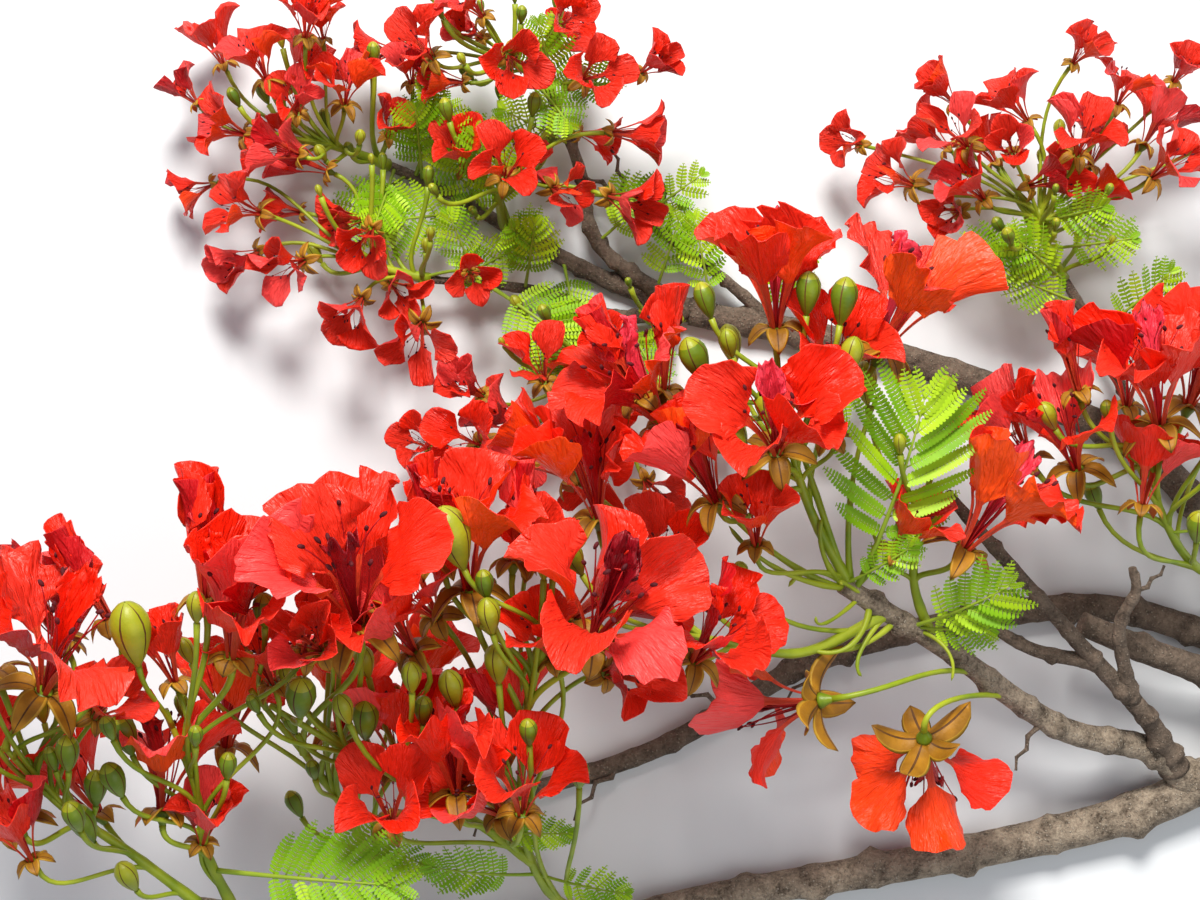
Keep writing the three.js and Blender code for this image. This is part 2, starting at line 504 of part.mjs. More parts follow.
// Adds a finished solid to the limb as a named mesh.
function addNode(name, body, material) {
  const { numProp, numVert, vertProperties, triVerts } = body.getMesh();
  const places = new Float32Array(numVert * 3);
  for (let i = 0; i < numVert; i++) places.set(vertProperties.subarray(i * numProp, i * numProp + 3), i * 3);
  const geometry = new THREE.BufferGeometry();
  geometry.setAttribute("position", new THREE.BufferAttribute(places, 3));
  geometry.setIndex(new THREE.BufferAttribute(triVerts, 1));
  geometry.computeVertexNormals();
  const mesh = new THREE.Mesh(geometry, MATERIALS[material]);
  mesh.name = name;
  limb.add(mesh);
  standing.push({ name, body, bounds: body.boundingBox() });
}

// The limbs come first. A later one is cut clear of all the earlier ones.
for (const [name, spec] of Object.entries(LIMBS)) {
  lines[name] = lineOf(spec);
  const body = cutClear(tubeOf(lines[name], spec.sides, spec.steps), Object.values(grown));
  grown[name] = tubeOf(lines[name], spec.sides, spec.steps, JOINT_GAP);
  addNode(name, body, "bark");
}

// Then the stems with their buds.
for (const [name, spec] of Object.entries(STEMS)) {
  lines[name] = lineOf(spec);
  const steps = spec.places.length * 2 - 2;
  const pieces = [cutClear(tubeOf(lines[name], STEM_SIDES, steps), Object.values(grown))];
  grown[name] = tubeOf(lines[name], STEM_SIDES, steps, JOINT_GAP);
  spec.buds.forEach(([middle, length], i) => {
    const bud = budPieces(lines[name], vector(middle), length, i);
    if (!bud.some((piece) => meets(piece))) pieces.push(...bud);
  });
  addNode(name, wasm.Manifold.union(pieces), "stem");
}

// Then the blooms and the sprays.
Object.entries(BLOOMS).forEach(([name, spec], i) => {
  const parents = [spec.on, STEMS[spec.on]?.on].filter(Boolean);
  addNode(name, bloomSolid(name, { ...spec, seed: i + 1 }, parents), "petal");
});
Object.entries(SPRAYS).forEach(([name, spec], i) => {
  lines[name] = lineOf(spec);
  const pieces = [cutClear(tubeOf(lines[name], STEM_SIDES, SPRAY_STEPS), Object.values(grown))];
  spec.blooms.forEach(([at, faces, size], j) => {
    const seed = 40 + i * 8 + j;
    const form = { small: true, open: SMALL_OPEN, spin: 360 * chance(seed), seed };
    pieces.push(bloomSolid(name, { on: name, at, faces, size, ...form }, [spec.on]));
  });
  addNode(name, cutClear(wasm.Manifold.union(pieces), []), "petal");
});

// The leaves come last, in the space that is left.
for (const [name, spec] of Object.entries(LEAVES)) addNode(name, leafSolid(name, spec), "leaf");

export default limb;
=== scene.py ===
import math

import bpy
import numpy as np
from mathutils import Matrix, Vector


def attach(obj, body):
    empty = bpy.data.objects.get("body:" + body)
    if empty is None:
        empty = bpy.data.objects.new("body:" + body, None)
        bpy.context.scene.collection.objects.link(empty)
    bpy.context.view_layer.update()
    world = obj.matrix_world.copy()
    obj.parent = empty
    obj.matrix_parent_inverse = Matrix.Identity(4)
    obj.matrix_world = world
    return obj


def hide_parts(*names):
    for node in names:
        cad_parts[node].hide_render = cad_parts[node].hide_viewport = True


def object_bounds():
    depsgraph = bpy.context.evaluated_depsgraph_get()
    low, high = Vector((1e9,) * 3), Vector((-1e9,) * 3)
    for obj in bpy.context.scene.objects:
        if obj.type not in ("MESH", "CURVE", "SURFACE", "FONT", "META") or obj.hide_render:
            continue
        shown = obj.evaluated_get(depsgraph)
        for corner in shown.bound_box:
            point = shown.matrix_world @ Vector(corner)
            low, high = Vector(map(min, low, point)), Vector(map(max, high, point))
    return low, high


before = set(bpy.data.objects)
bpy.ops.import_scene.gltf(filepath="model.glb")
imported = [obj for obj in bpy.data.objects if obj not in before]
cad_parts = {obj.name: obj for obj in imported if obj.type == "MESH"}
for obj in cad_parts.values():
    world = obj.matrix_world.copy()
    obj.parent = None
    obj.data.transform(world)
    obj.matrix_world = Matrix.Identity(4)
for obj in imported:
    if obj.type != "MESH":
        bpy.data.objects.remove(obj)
CAD_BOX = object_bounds()

MM = 0.001
SAWN_RADIUS = 14
GROUND = -SAWN_RADIUS

# The camera, the lights and the surround, in metres
CAMERA_PLACE = (-0.380, 0.156, 1.245)
SENSOR_WIDTH = 36
LENS = 71.9
LIMB_MIDDLE = (-0.36, 0.12, 0.05)
LIGHTS = {"key_light": ((-0.5, 1.5, 1.6), 0.6, 66), "fill_light": ((0.7, -0.6, 1.5), 1.4, 10)}
LIGHT_TINT = (1, 0.97, 0.92)
SURROUND = (0.86, 0.92, 1, 1)
SURROUND_STRENGTH = 0.40
FLOOR_PLACE = (-0.35, 0.15, GROUND * MM)
FLOOR_SIZE = 6
FLOOR_TINT = (0.72, 0.745, 0.77, 1)

# Limbs, stems and stalks. A limb whose radius is over THICK at its middle has more sides. A stalk leaves its
# stem by a drop, in shares of the stem, before the nearest place to what it carries. Its form is the number
# of its rings, its least radius, and how much it swells and how fast that fades at its root and its foot.
# The main and middle limbs have the pale bark; the others have the darker twig bark as painted shade.
PALE_LIMBS = ("main_limb", "mid_limb")
THICK = 4.4
LIMB_SIDES = (40, 24)
LIMB_RING_GAP = 2.4
STEM_SIDES = 12
STEM_RING_GAP = 4
END_RINGS = 4
LINE_SHARES = [i / 40 for i in range(41)]
STEM_RADII = (2.8, 1.3)
STALK_DROP = (0.06, 0.3)
LONG_DROP = (0.2, 0.6)
THIN_SIDES = 8
BLOOM_STALK = (14, 1.3, (0.6, 14), (0.4, 12))
BLOOM_FOOT = 7
BUD_STALK = (12, 1.2, (0.5, 12), (0.4, 10))
BUD_FOOT = 0.47
KNOB_GAPS = (3, 6)
KNOB_HEIGHTS = (0.3, 0.66)
TWIGLET_RADII = (1.5, 0.6)
TWIGLET_KNOTS = 6
TWIGLET_RINGS = 21
ZIGZAG = 0.07
SHOOT_RINGS = 18
# Relief, in shares of the radius: a limb's swellings, wrinkles, ring scars and the collar at its root, and a
# stem's swellings and foot. A ring scar is so wide in millimetres.
SWELLING, WRINKLE, RING_SCAR, COLLAR = 0.1, 0.03, 0.05, 0.4
STEM_SWELLING, STEM_FOOT = 0.12, 0.15
SCAR_WIDTH = 1.6

# Blooms, as the frame has them. A petal leans so many degrees away from the bloom's axis, at its root and at
# its tip. The frame may have swung it and turned it round the axis, by one of SWINGS, in degrees.
SINK = 0.9
PETALS = 5
SMALL_PETALS = 4
SMALL_OPEN = 0.9
CLAW_LEAN = 12
WIDEST_LEAN = 76
RING = 2.9
PETAL_LENGTH = 60
PETAL_LENGTHS = (0.92, 1.08)
PETAL_HALF = 18.5
PETAL_TIP = 0.45
PETAL_TWIST = 1.2
PETAL_SWAY = 0.3
SMALL_TIP = 0.25
STANDARD_LEANS = (3, 24)
STANDARD_HALF = 6.5
STANDARD_TIP = 0.7
SEPAL_REACH = 20
SEPAL_FALL = 9
SEPAL_RING = 4.6
SEPAL_FOLDS = (1, 0.75, 0.5, 0.25)
SWINGS = [(0, 0), (-14, 0), (14, 0), (0, 12), (0, -12), (-28, 0), (-14, 12), (-14, -12), (14, 12),
          (14, -12), (-42, 0)]
MATCH = 0.05

# Blooms, finer than the frame has them. Most pairs are the least and the most of what is drawn. A grid's are
# its rows and columns, and those of the leans and of the claw run from the petal's root onwards.
SPRAY_SCALE = 0.64
HANGING = -0.3
FURLED_LEANS = (2, 9)
FURLED_SHARE = 0.2
FURLED_CURL = 2.9
ROLLED_CURLS = (1.6, 2.5)
OPEN_CURLS = (0, 0.8)
PETAL_GRID = (34, 25)
SMALL_GRID = (20, 15)
TINY_GRID = (14, 10)
TINY = 0.62
STANDARD_GRID = (32, 25)
STANDARD_HALVES = (10, 13)
STANDARD_CURLS = (2.3, 3.0)
PETAL_THICKNESS = 0.35
PETAL_BREADTHS = (0.9, 1.08)
CLAW_HALVES = (1.1, 2.0)
CLAW_SHARE = 0.4
CLAW_END = 0.39
SHOULDER = 0.67
WIDEST = 0.70
END_POWER = 2.4
CUPS = (-3, 8)
FOLDS = (0, 0.3)
RECURVES = (-14, 40)
KEEL = 1.2
RUFFLES = ((7, 0.9), (12, 0.7), (18, 0.5))
RUFFLE_DEPTHS = (1.6, 3.4)
CALM_RUFFLE = 0.55
FINEST_RUFFLE = 0.56
CREASES = ((1, 0.35, 0.8, 3), (0.6, 0.8, 1.3, 5), (0.35, 0.6, 4, 8))
CREASE_DEPTHS = (1.4, 2.7)
ROLL_DEPTHS = (6, 22)
SEPAL_HALF = 4.9
SEPAL_THICKNESS = 0.8
SEPAL_ROWS, SMALL_SEPAL_ROWS = 9, 6
CUP_SIDES, SMALL_CUP_SIDES = 14, 9
# A sepal's form: how broad and how blunt it is, and the least and the most of its reach and of its fall
SEPAL_FORM = (1.12, 5, (0.92, 1.02), (0.7, 1.2))
HANGING_SEPAL_FORM = (1.5, 9, (0.95, 1.5), (-1.6, 1.6))
# Stamens: how many, how long, and the rings and sides of each filament
STAMENS = (10, 50, 9, 5)
SMALL_STAMENS = (6, 46, 6, 4)
STAMEN_LENGTHS = (0.75, 1.05)
STAMEN_ROOT_LEANS = (2, 8)
STAMEN_TIP_LEANS = (10, 38)
FILAMENT_RADII = (0.55, 0.3)
# Profiles: places along a calyx's cup, each with its radius, and shares along a bud, each with a share of its
# greatest radius
CUP = [(-10, 1.3), (-7, 1.7), (-4, 2.9), (-1.6, 4.1), (-0.2, 4.2), (0.2, 2.6)]
BUD_PROFILE = [(0, 0.10), (0.06, 0.2), (0.16, 0.44), (0.3, 0.68), (0.45, 0.88), (0.6, 1), (0.74, 0.97),
               (0.86, 0.76), (0.94, 0.48), (0.985, 0.2), (1, 0.04)]
BUD_SLIMNESS = 0.265
BUD_TIP = 0.8
PALE_BUDS = 0.3

# Young blooms and more buds, each put where a few tries find most room. The room is measured from a spot so
# high over each calyx. A spot stays inside the frame's own box by the first margin at its low corner, and
# passes it by no more than the second at its high one.
TRIES = 24
BOX_MARGINS = (4, 2)
YOUNG_ROOM = 30
YOUNG_SIZES = (0.58, 0.9)
YOUNG_SPRAY_SIZES = (0.37, 0.54)
YOUNG_OPEN = (0.3, 0.8)
YOUNG_FOLD = 0.75
YOUNG_PLACES = ((-34, -8, -16), (34, 26, 16))
YOUNG_DEPTHS = (0, 18)
YOUNG_TILT = 0.5
YOUNG_HEIGHT = 22
BUD_ROOM = 24
BUD_LENGTHS = (11, 25)
SPRAY_BUD_LENGTHS = (6, 14)
BUD_SHARES = (0.55, 1)
BUD_SPREAD = (34, 30, 22)
BUD_LIFT = (0, 22, 10)
BUD_HEADING = (0, 1.0, 0.3)
BUD_HEIGHT = 20

# Where the seeds of each kind of bloom begin, and what sets a seed's chances apart from one another
SPRAY_SEED, YOUNG_SEED, FURLED_SEED = 40, 200, 400
SALT = dict(length=0.3, twist=0.6, standard=0.6, aged=0.235, front=0.45, back=0.15, drop=0.8, turn=0.4,
            grown=0.7)

# The petals' tints, and how great a share of them each has. An aged bloom's and a standard's are redder.
FRONTS = {"petal_flame": 0.26, "petal_orange": 0.34, "petal_scarlet": 0.30, "petal_crimson": 0.04,
          "petal_pink": 0.06}
AGED_FRONTS = {"petal_scarlet": 0.42, "petal_crimson": 0.3, "petal_pink": 0.28}
STANDARDS = {"petal_crimson": 0.65, "petal_wilted": 0.13, "petal_rose": 0.22}
BACKS = {"petal_back": 0.5, "petal_scarlet": 0.35, "petal_pink": 0.15}
AGED = 0.3

# Leaves
LEAFLET = 4.3
LEAFLET_GAP = 1.8
LEAFLET_ROOM = 0.6
FEWEST_LEAFLETS = 8
MIDRIB_RINGS, MIDRIB_SIDES = 16, 6
PINNA_RINGS, PINNA_SIDES = 6, 4
PINNA_RADII = (0.4, 0.2)
FIRST_PAIR = 0.34
PINNA_LEANS = (72, 30)
PINNA_LENGTHS = (0.8, 1.06)
PINNA_TURN = 1.1
BOW = 0.14
DROOP = 0.12
BEND = 0.1
# The share of pinnae in the pale tint, which is painted sunlight; the rest have the darker tint, painted
# shade.
SUNLIT_PINNAE = 0.5
SMALL_LEAF_FACES = (0.1, -0.15, 1)

# Finishes. A petal has its colour, its painted glow, which stands in for light shining through it, and for
# one its roughness.
FAN = "fan"
PETAL_TINTS = {
    "petal_flame": ((1.0, 0.080, 0.004), 0.09),
    "petal_orange": ((0.96, 0.050, 0.002), 0.09),
    "petal_scarlet": ((0.88, 0.018, 0.002), 0.09),
    "petal_crimson": ((0.56, 0.003, 0.006), 0.03, 0.46),
    "petal_back": ((0.80, 0.026, 0.009), 0.09),
    # Coral pink is partly the petals' own paler tint and partly a painted highlight.
    "petal_pink": ((0.92, 0.055, 0.050), 0.09),
    "petal_claw": ((0.80, 0.060, 0.020), 0.05),
    "petal_wilted": ((0.28, 0.002, 0.008), 0.02),
    "petal_rose": ((0.80, 0.040, 0.070), 0.08),
}
# Other soft tissue has a dark and a light tint, its roughness, its cells a metre, its crinkles' depth in
# metres, and for some a painted glow, which stands in for light shining through it, and a gloss.
TISSUES = {
    "filament": ((0.30, 0.003, 0.006), (0.48, 0.012, 0.012), 0.5, 90, 0.0002),
    "anther": ((0.05, 0.004, 0.008), (0.13, 0.014, 0.018), 0.7, 200, 0.0003),
    "sepal_outside": ((0.20, 0.085, 0.006), (0.42, 0.19, 0.012), 0.5, 80, 0.0003),
    "sepal_inside": ((0.40, 0.050, 0.006), (0.54, 0.13, 0.012), 0.5, 80, 0.0003, 0.02),
    "sepal_rim": ((0.34, 0.18, 0.012), (0.48, 0.27, 0.02), 0.5, 80, 0.0002),
    "seam": ((0.070, 0.030, 0.008), (0.14, 0.055, 0.014), 0.6, 200, 0.0002),
    "bud": ((0.080, 0.150, 0.004), (0.19, 0.27, 0.008), 0.42, 70, 0.0002, 0, 0.4),
    "bud_tip": ((0.23, 0.28, 0.008), (0.41, 0.41, 0.016), 0.42, 70, 0.0002, 0, 0.4),
    "stem": ((0.17, 0.26, 0.006), (0.37, 0.43, 0.018), 0.45, 50, 0.0002, 0, 0.4),
    # Leaflets have a sunlit and a shaded copy: the pale tint is painted light, the darker one painted shade.
    "leaflet": ((0.14, 0.33, 0.002), (0.25, 0.47, 0.004), 0.5, 50, 0.0001, 0.03),
    "leaflet_pale": ((0.27, 0.48, 0.004), (0.41, 0.61, 0.012), 0.5, 50, 0.0001, 0.03),
    "leaf_rib": ((0.20, 0.32, 0.020), (0.32, 0.44, 0.035), 0.5, 50, 0.0001),
}
# Bark has its cracks' tint, its ridges' and its pores'. The darker twig bark is the twigs' own, and on the
# limbs other than the main and middle ones it is painted shade.
BARKS = {
    "bark": ((0.070, 0.050, 0.034), (0.46, 0.37, 0.275), (0.66, 0.57, 0.46)),
    "twig_bark": ((0.050, 0.035, 0.025), (0.23, 0.17, 0.125), (0.44, 0.36, 0.28)),
}
RINGS_PER_METRE = 900
SAWN_DARK = (0.50, 0.34, 0.17)
SAWN_LIGHT = (0.66, 0.50, 0.29)
SAWN_RIM = (0.16, 0.10, 0.055, 1)
LEAF_FINISHES = ("leaflet", "leaflet_pale", "leaf_rib")

# The stems of each raceme
RACEMES = {
    "left": ["left_stem_a", "left_stem_b", "left_stem_c", "left_stem_d", "left_stem_e"],
    "centre": ["centre_stem", "centre_left_stem", "mid_limb"],
    "right": ["right_stem", "right_near_stem"],
    "high": ["spray_tip", "spray_left", "spray_up", "spray_side"],
    "behind": ["spray_right", "spray_rear"],
}
# The kinds of piece that a raceme has: the slot of each, and its finishes
BLOSSOM = {
    "petals": ("petal", *PETAL_TINTS),
    "young_petals": ("petal", *PETAL_TINTS),
    "calyxes": ("petal", "sepal_outside", "sepal_inside", "sepal_rim", "seam", "bud"),
    "stamens": ("petal", "filament", "anther"),
    "stalks": ("stem", "stem"),
    "buds": ("stem", "bud", "bud_tip", "seam", "stem"),
}

# Limbs from root to tip, by a few places on each. A place with no height lies on the ground.
LIMBS = {
    "main_limb": dict(radii=(SAWN_RADIUS, 3.4), places=[
        (0, 0, 0), (-17, 0, 0), (-34, 0, 0), (-103, -33), (-205, -57), (-317, -77), (-400, -92, 4),
        (-495, -85, 42), (-574, -64, 84)]),
    "mid_limb": dict(on="main_limb", radii=(7.6, 4.6), places=[
        (-70, -16, 0), (-98, 2, 12), (-148, 16, 34), (-205, 55, 62), (-263, 91, 90)]),
    "high_limb": dict(on="main_limb", radii=(9.5, 6.4), places=[
        (-24, 0, 0), (-38, 40), (-58, 112), (-108, 163), (-180, 190), (-255, 213), (-333, 228)]),
    "high_tip": dict(on="high_limb", radii=(5.6, 2.4), places=[
        (-325, 227, -7), (-372, 243), (-417, 266), (-458, 290), (-495, 307)]),
    "rear_limb": dict(on="high_limb", radii=(7.6, 4), places=[
        (-42, 57, -5), (-119, 74), (-208, 63), (-275, 42), (-350, 0), (-438, -29)]),
    "stub_limb": dict(on="high_limb", radii=(7.8, 6), places=[
        (-36, 31, -4), (-64, 40, 16), (-100, 53, 25), (-136, 68, 30)]),
    "high_fork_up": dict(on="high_limb", radii=(4.6, 2.2), places=[
        (-345, 230, -7), (-380, 262, -1), (-391, 303, 8), (-407, 342, 22)]),
    "high_fork_left": dict(on="high_limb", radii=(4, 1.8), places=[
        (-338, 228, -7), (-372, 226, -3), (-414, 239, 0), (-468, 244, 10)]),
    "high_fork_bare": dict(on="high_limb", radii=(3.4, 1.4), places=[
        (-289, 221, -7), (-320, 248, 2), (-353, 272, 6), (-370, 289, 8)]),
    "right_fork": dict(on="high_limb", radii=(3.8, 2.2), places=[
        (-90, 150, -5), (-106, 182, 0), (-122, 213, 8), (-144, 246, 18)]),
    "bare_twig_long": dict(on="mid_limb", radii=(6, 2.6), places=[
        (-80, -8, 6), (-102, 20, 28), (-135, 53, 48), (-161, 80, 64), (-213, 135, 92)]),
    "bare_twig_low": dict(on="bare_twig_long", radii=(3.8, 2.6), places=[
        (-132, 51, 46), (-165, 57, 46), (-200, 78, 50)]),
    "bare_twig_upright": dict(on="bare_twig_long", radii=(3.8, 2), places=[
        (-110, 28, 34), (-122, 66, 54), (-116, 86, 64), (-119, 98, 70)]),
}

# Green flower stems, written as the limbs are. The buds on each have their middle and their length.
STEMS = {
    "centre_stem": dict(on="mid_limb", places=[
        (-258, 88, 87), (-278, 123, 104), (-289, 154, 116), (-294, 186, 126)],
        buds=[((-331, 225, 136), 19), ((-284, 228, 138), 22), ((-336, 197, 148), 25)]),
    "centre_left_stem": dict(on="mid_limb", places=[
        (-238, 74, 78), (-284, 59, 98), (-325, 66, 112), (-361, 72, 120)],
        buds=[((-377, 84, 126), 14)]),
    "right_near_stem": dict(on="mid_limb", places=[(-219, 62, 68), (-229, 96, 90), (-224, 142, 110)],
        buds=[((-222, 160, 116), 13)]),
    "right_stem": dict(on="high_limb", places=[
        (-50, 90, -4), (-80, 98, 34), (-104, 126, 66), (-114, 161, 84)],
        buds=[((-166, 172, 102), 17)]),
    "left_stem_a": dict(on="main_limb", places=[
        (-380, -89, 0), (-408, -63, 40), (-418, -20, 84), (-413, 39, 124), (-400, 78, 142)],
        buds=[((-446, 116, 168), 34), ((-432, 95, 162), 16), ((-401, 105, 160), 18)]),
    "left_stem_b": dict(on="left_stem_a", places=[
        (-416, -48, 60), (-444, -23, 78), (-494, 9, 104), (-535, 36, 120)],
        buds=[((-517, 42, 148), 27), ((-466, 52, 152), 18), ((-462, 35, 134), 17)]),
    "left_stem_c": dict(on="main_limb", places=[
        (-481, -87, 36), (-497, -38, 62), (-515, -3, 80), (-546, 42, 106)],
        buds=[((-532, 83, 160), 20)]),
    "left_stem_d": dict(on="main_limb", places=[
        (-562, -68, 78), (-568, -35, 102), (-570, -4, 118), (-581, 36, 136)],
        buds=[((-590, 73, 170), 35), ((-559, 86, 182), 17)]),
    "left_stem_e": dict(on="main_limb", places=[
        (-574, -64, 84), (-606, -34, 104), (-634, -11, 118), (-657, 19, 134)],
        buds=[((-611, 48, 150), 18), ((-625, 16, 142), 21), ((-615, -2, 128), 21), ((-622, -20, 120), 24),
              ((-603, -46, 112), 20)]),
}

# Blooms: the stem each stands on, its calyx, the way it faces, its size beside the usual one, how wide it is
# open, the angle round its axis at which its standard petal stands, and for some how far down its stalk
# leaves the stem.
BLOOMS = {
    "bloom_crown": ("centre_stem", (-298, 213, 128), (-0.05, 1, 0.4), 1, 0.62, 270),
    "bloom_crown_right": ("centre_stem", (-249, 202, 122), (0.4, 1, 0.3), 1.05, 0.8, 20, 0.3),
    "bloom_upper_left": ("centre_stem", (-350, 168, 118), (-0.5, 0.75, 0.45), 1, 0.9, 200),
    "bloom_centre": ("centre_stem", (-299, 155, 142), (-0.1, 0.6, 0.85), 0.95, 0.95, 270),
    "bloom_centre_low": ("centre_stem", (-326, 132, 132), (-0.4, 0.85, 0.4), 0.9, 0.7, 90),
    "bloom_under_right": ("mid_limb", (-223, 16, 84), (0.1, -0.55, -0.6), 0.95, 1, 300),
    "bloom_under_left": ("mid_limb", (-275, 36, 98), (-0.8, -0.15, -0.35), 0.95, 0.95, 250),
    "bloom_gap": ("centre_left_stem", (-381, 124, 112), (-0.1, 0.85, 0.4), 0.95, 0.8, 90),
    "bloom_inner": ("centre_left_stem", (-336, 58, 130), (0.35, 0.6, 0.6), 0.85, 0.85, 0),
    "bloom_right_tall": ("right_stem", (-111, 168, 92), (-0.15, 1, 0.35), 1.05, 0.75, 270),
    "bloom_right_near": ("right_near_stem", (-206, 109, 102), (0.55, 0.85, 0.3), 1.05, 0.7, 270),
    "bloom_right_edge": ("right_stem", (-89, 178, 60), (0.25, 0.9, 0.3), 0.95, 0.85, 300),
    "bloom_right_back": ("right_stem", (-148, 147, 80), (-0.3, 0.8, 0.5), 0.9, 0.9, 30),
    "bloom_left_tall": ("left_stem_d", (-548, 62, 150), (0.1, 0.8, 0.6), 1.15, 0.85, 330),
    "bloom_left_broad": ("left_stem_e", (-634, 46, 150), (0.35, 0.75, 0.55), 1.2, 0.95, 264, 0.02),
    "bloom_left_edge": ("left_stem_e", (-662, 52, 128), (-0.35, 0.9, 0.1), 1.05, 0.8, 90),
    "bloom_left_middle": ("left_stem_c", (-490, 78, 160), (-0.1, 0.7, 0.6), 1.2, 0.95, 100),
    "bloom_left_inner": ("left_stem_a", (-440, 91, 138), (-0.1, 0.9, 0.35), 1.1, 0.8, 350),
    "bloom_left_right": ("left_stem_a", (-384, 69, 156), (0.25, 0.6, 0.75), 1.15, 0.95, 290),
    "bloom_left_low": ("left_stem_b", (-448, -6, 112), (-0.1, 0.8, 0.3), 0.95, 0.7, 200),
    "bloom_left_behind": ("left_stem_d", (-561, 12, 84), (0.1, 0.9, 0.2), 0.95, 0.8, 60),
    "bloom_left_among": ("left_stem_c", (-508, 18, 66), (0.15, 0.95, 0.15), 0.9, 0.85, 160),
    "bloom_left_under": ("left_stem_d", (-586, -14, 116), (0, 0.95, -0.1), 0.95, 0.9, 30),
    "bloom_left_corner": ("left_stem_e", (-656, -22, 112), (-0.5, 0.65, 0.1), 1, 0.85, 120),
}

# Sprays of smaller blooms: each bloom has its calyx, the way it faces and its size.
SPRAYS = {
    "spray_tip": dict(on="high_tip", places=[(-492, 306, -8), (-512, 311, 10), (-532, 314, 20)], blooms=[
        ((-560, 316, 30), (-0.8, 0.3, 0.4), 0.8), ((-548, 342, 38), (-0.3, 0.8, 0.5), 0.8),
        ((-509, 330, 36), (0.1, 0.8, 0.6), 0.8)]),
    "spray_left": dict(on="high_fork_left", places=[
        (-466, 244, 10), (-486, 248, 16), (-504, 254, 20)], blooms=[
        ((-552, 276, 30), (-0.8, 0.2, 0.5), 0.75), ((-530, 252, 30), (-0.6, -0.3, 0.7), 0.75),
        ((-470, 220, 34), (-0.1, -0.6, 0.75), 0.8)]),
    "spray_up": dict(on="high_fork_up", places=[(-405, 340, 21), (-420, 350, 30), (-436, 354, 36)], blooms=[
        ((-464, 352, 44), (-0.5, 0.4, 0.7), 0.8), ((-389, 341, 48), (0.5, 0.1, 0.85), 0.75)]),
    "spray_side": dict(on="high_tip", places=[(-430, 274, -10), (-432, 284, 12), (-430, 292, 26)], blooms=[
        ((-428, 292, 44), (0.1, 0.4, 0.9), 0.85), ((-404, 288, 34), (0.7, -0.3, 0.6), 0.65)]),
    "spray_right": dict(on="right_fork", places=[(-142, 243, 17), (-154, 262, 26), (-158, 278, 32)], blooms=[
        ((-142, 303, 50), (0.1, 0.7, 0.7), 0.85), ((-196, 308, 44), (-0.5, 0.5, 0.6), 0.8),
        ((-222, 290, 34), (-0.8, 0.3, 0.4), 0.8), ((-104, 292, 46), (0.6, 0.5, 0.6), 0.85),
        ((-122, 328, 48), (0.3, 0.9, 0.4), 0.7)]),
    "spray_rear": dict(on="high_limb", places=[(-333, 225, -8), (-372, 204, 6), (-408, 170, 30)], blooms=[
        ((-440, 158, 38), (-0.4, 0.2, 0.85), 0.85), ((-408, 190, 42), (-0.1, 0.7, 0.7), 0.8),
        ((-385, 146, 40), (0.1, -0.2, 0.9), 0.8), ((-350, 158, 36), (0.5, 0.1, 0.8), 0.75)]),
}

# Leaves, twice divided: what each grows from, its midrib's root and tip, the way its face looks, the length
# of its longest pinna, its pairs of pinnae, and for some the share of pinnae in the pale tint, which is
# painted sunlight, so that a low share paints the leaf in shade. The root is moved to the nearest place on
# what it grows from.
LEAVES = {
    "leaf_centre": ("mid_limb", (-258, 86, 88), (-230, 180, 138), (0.2, -0.2, 1), 46, 5),
    "leaf_centre_low": ("mid_limb", (-232, 68, 76), (-186, 92, 112), (0, -0.3, 1), 24, 4),
    # The two lower left leaves have few pale pinnae, which paints them in shade.
    "leaf_left_big": ("left_stem_d", (-567, -48, 94), (-474, -48, 122), (0, 0.1, 1), 36, 6, 0.12),
    "leaf_left_middle": ("left_stem_a", (-412, -56, 46), (-462, -46, 84), (0, -0.2, 1), 17, 5, 0.12),
    "leaf_high_tip": ("high_tip", (-478, 301, -8), (-458, 330, 30), (-0.2, 0.1, 1), 30, 4),
    "leaf_high_low": ("high_tip", (-440, 281, -9), (-500, 272, 18), (0.2, 0, 1), 26, 5),
    "leaf_high_hanging": ("high_fork_left", (-440, 239, 3), (-392, 208, 26), (0, 0.2, 1), 32, 5),
}

# Finer growth that the frame leaves out: on each stem so many young blooms and so many more buds.
YOUNG = {
    "centre_stem": (3, 6), "centre_left_stem": (2, 4), "right_near_stem": (1, 3), "right_stem": (4, 6),
    "left_stem_a": (5, 7), "left_stem_b": (5, 7), "left_stem_c": (5, 6), "left_stem_d": (4, 6),
    "left_stem_e": (4, 6), "spray_tip": (10, 9), "spray_left": (9, 8), "spray_up": (8, 11),
    "spray_side": (5, 9), "spray_right": (15, 12), "spray_rear": (11, 9),
}

# Furled blooms, which the frame leaves out: the stem, the calyx, the way each points, and its size.
FURLED_BLOOMS = [
    ("left_stem_d", (-560, 88, 150), (-0.05, 1, 0.15), 1),
    ("left_stem_e", (-606, 78, 142), (-0.45, 0.85, 0.2), 0.85),
    ("left_stem_e", (-632, 66, 122), (-0.5, 0.85, 0.1), 0.8),
    ("left_stem_a", (-453, 104, 140), (-0.2, 1, 0.2), 0.85),
    ("left_stem_a", (-420, 104, 138), (0.1, 1, 0.1), 0.8),
    ("centre_stem", (-361, 180, 126), (-0.5, 0.85, 0.25), 0.9),
    ("centre_stem", (-350, 184, 122), (0.05, 1, 0.3), 0.85),
    ("right_stem", (-150, 184, 92), (-0.3, 1, 0.2), 0.75),
]

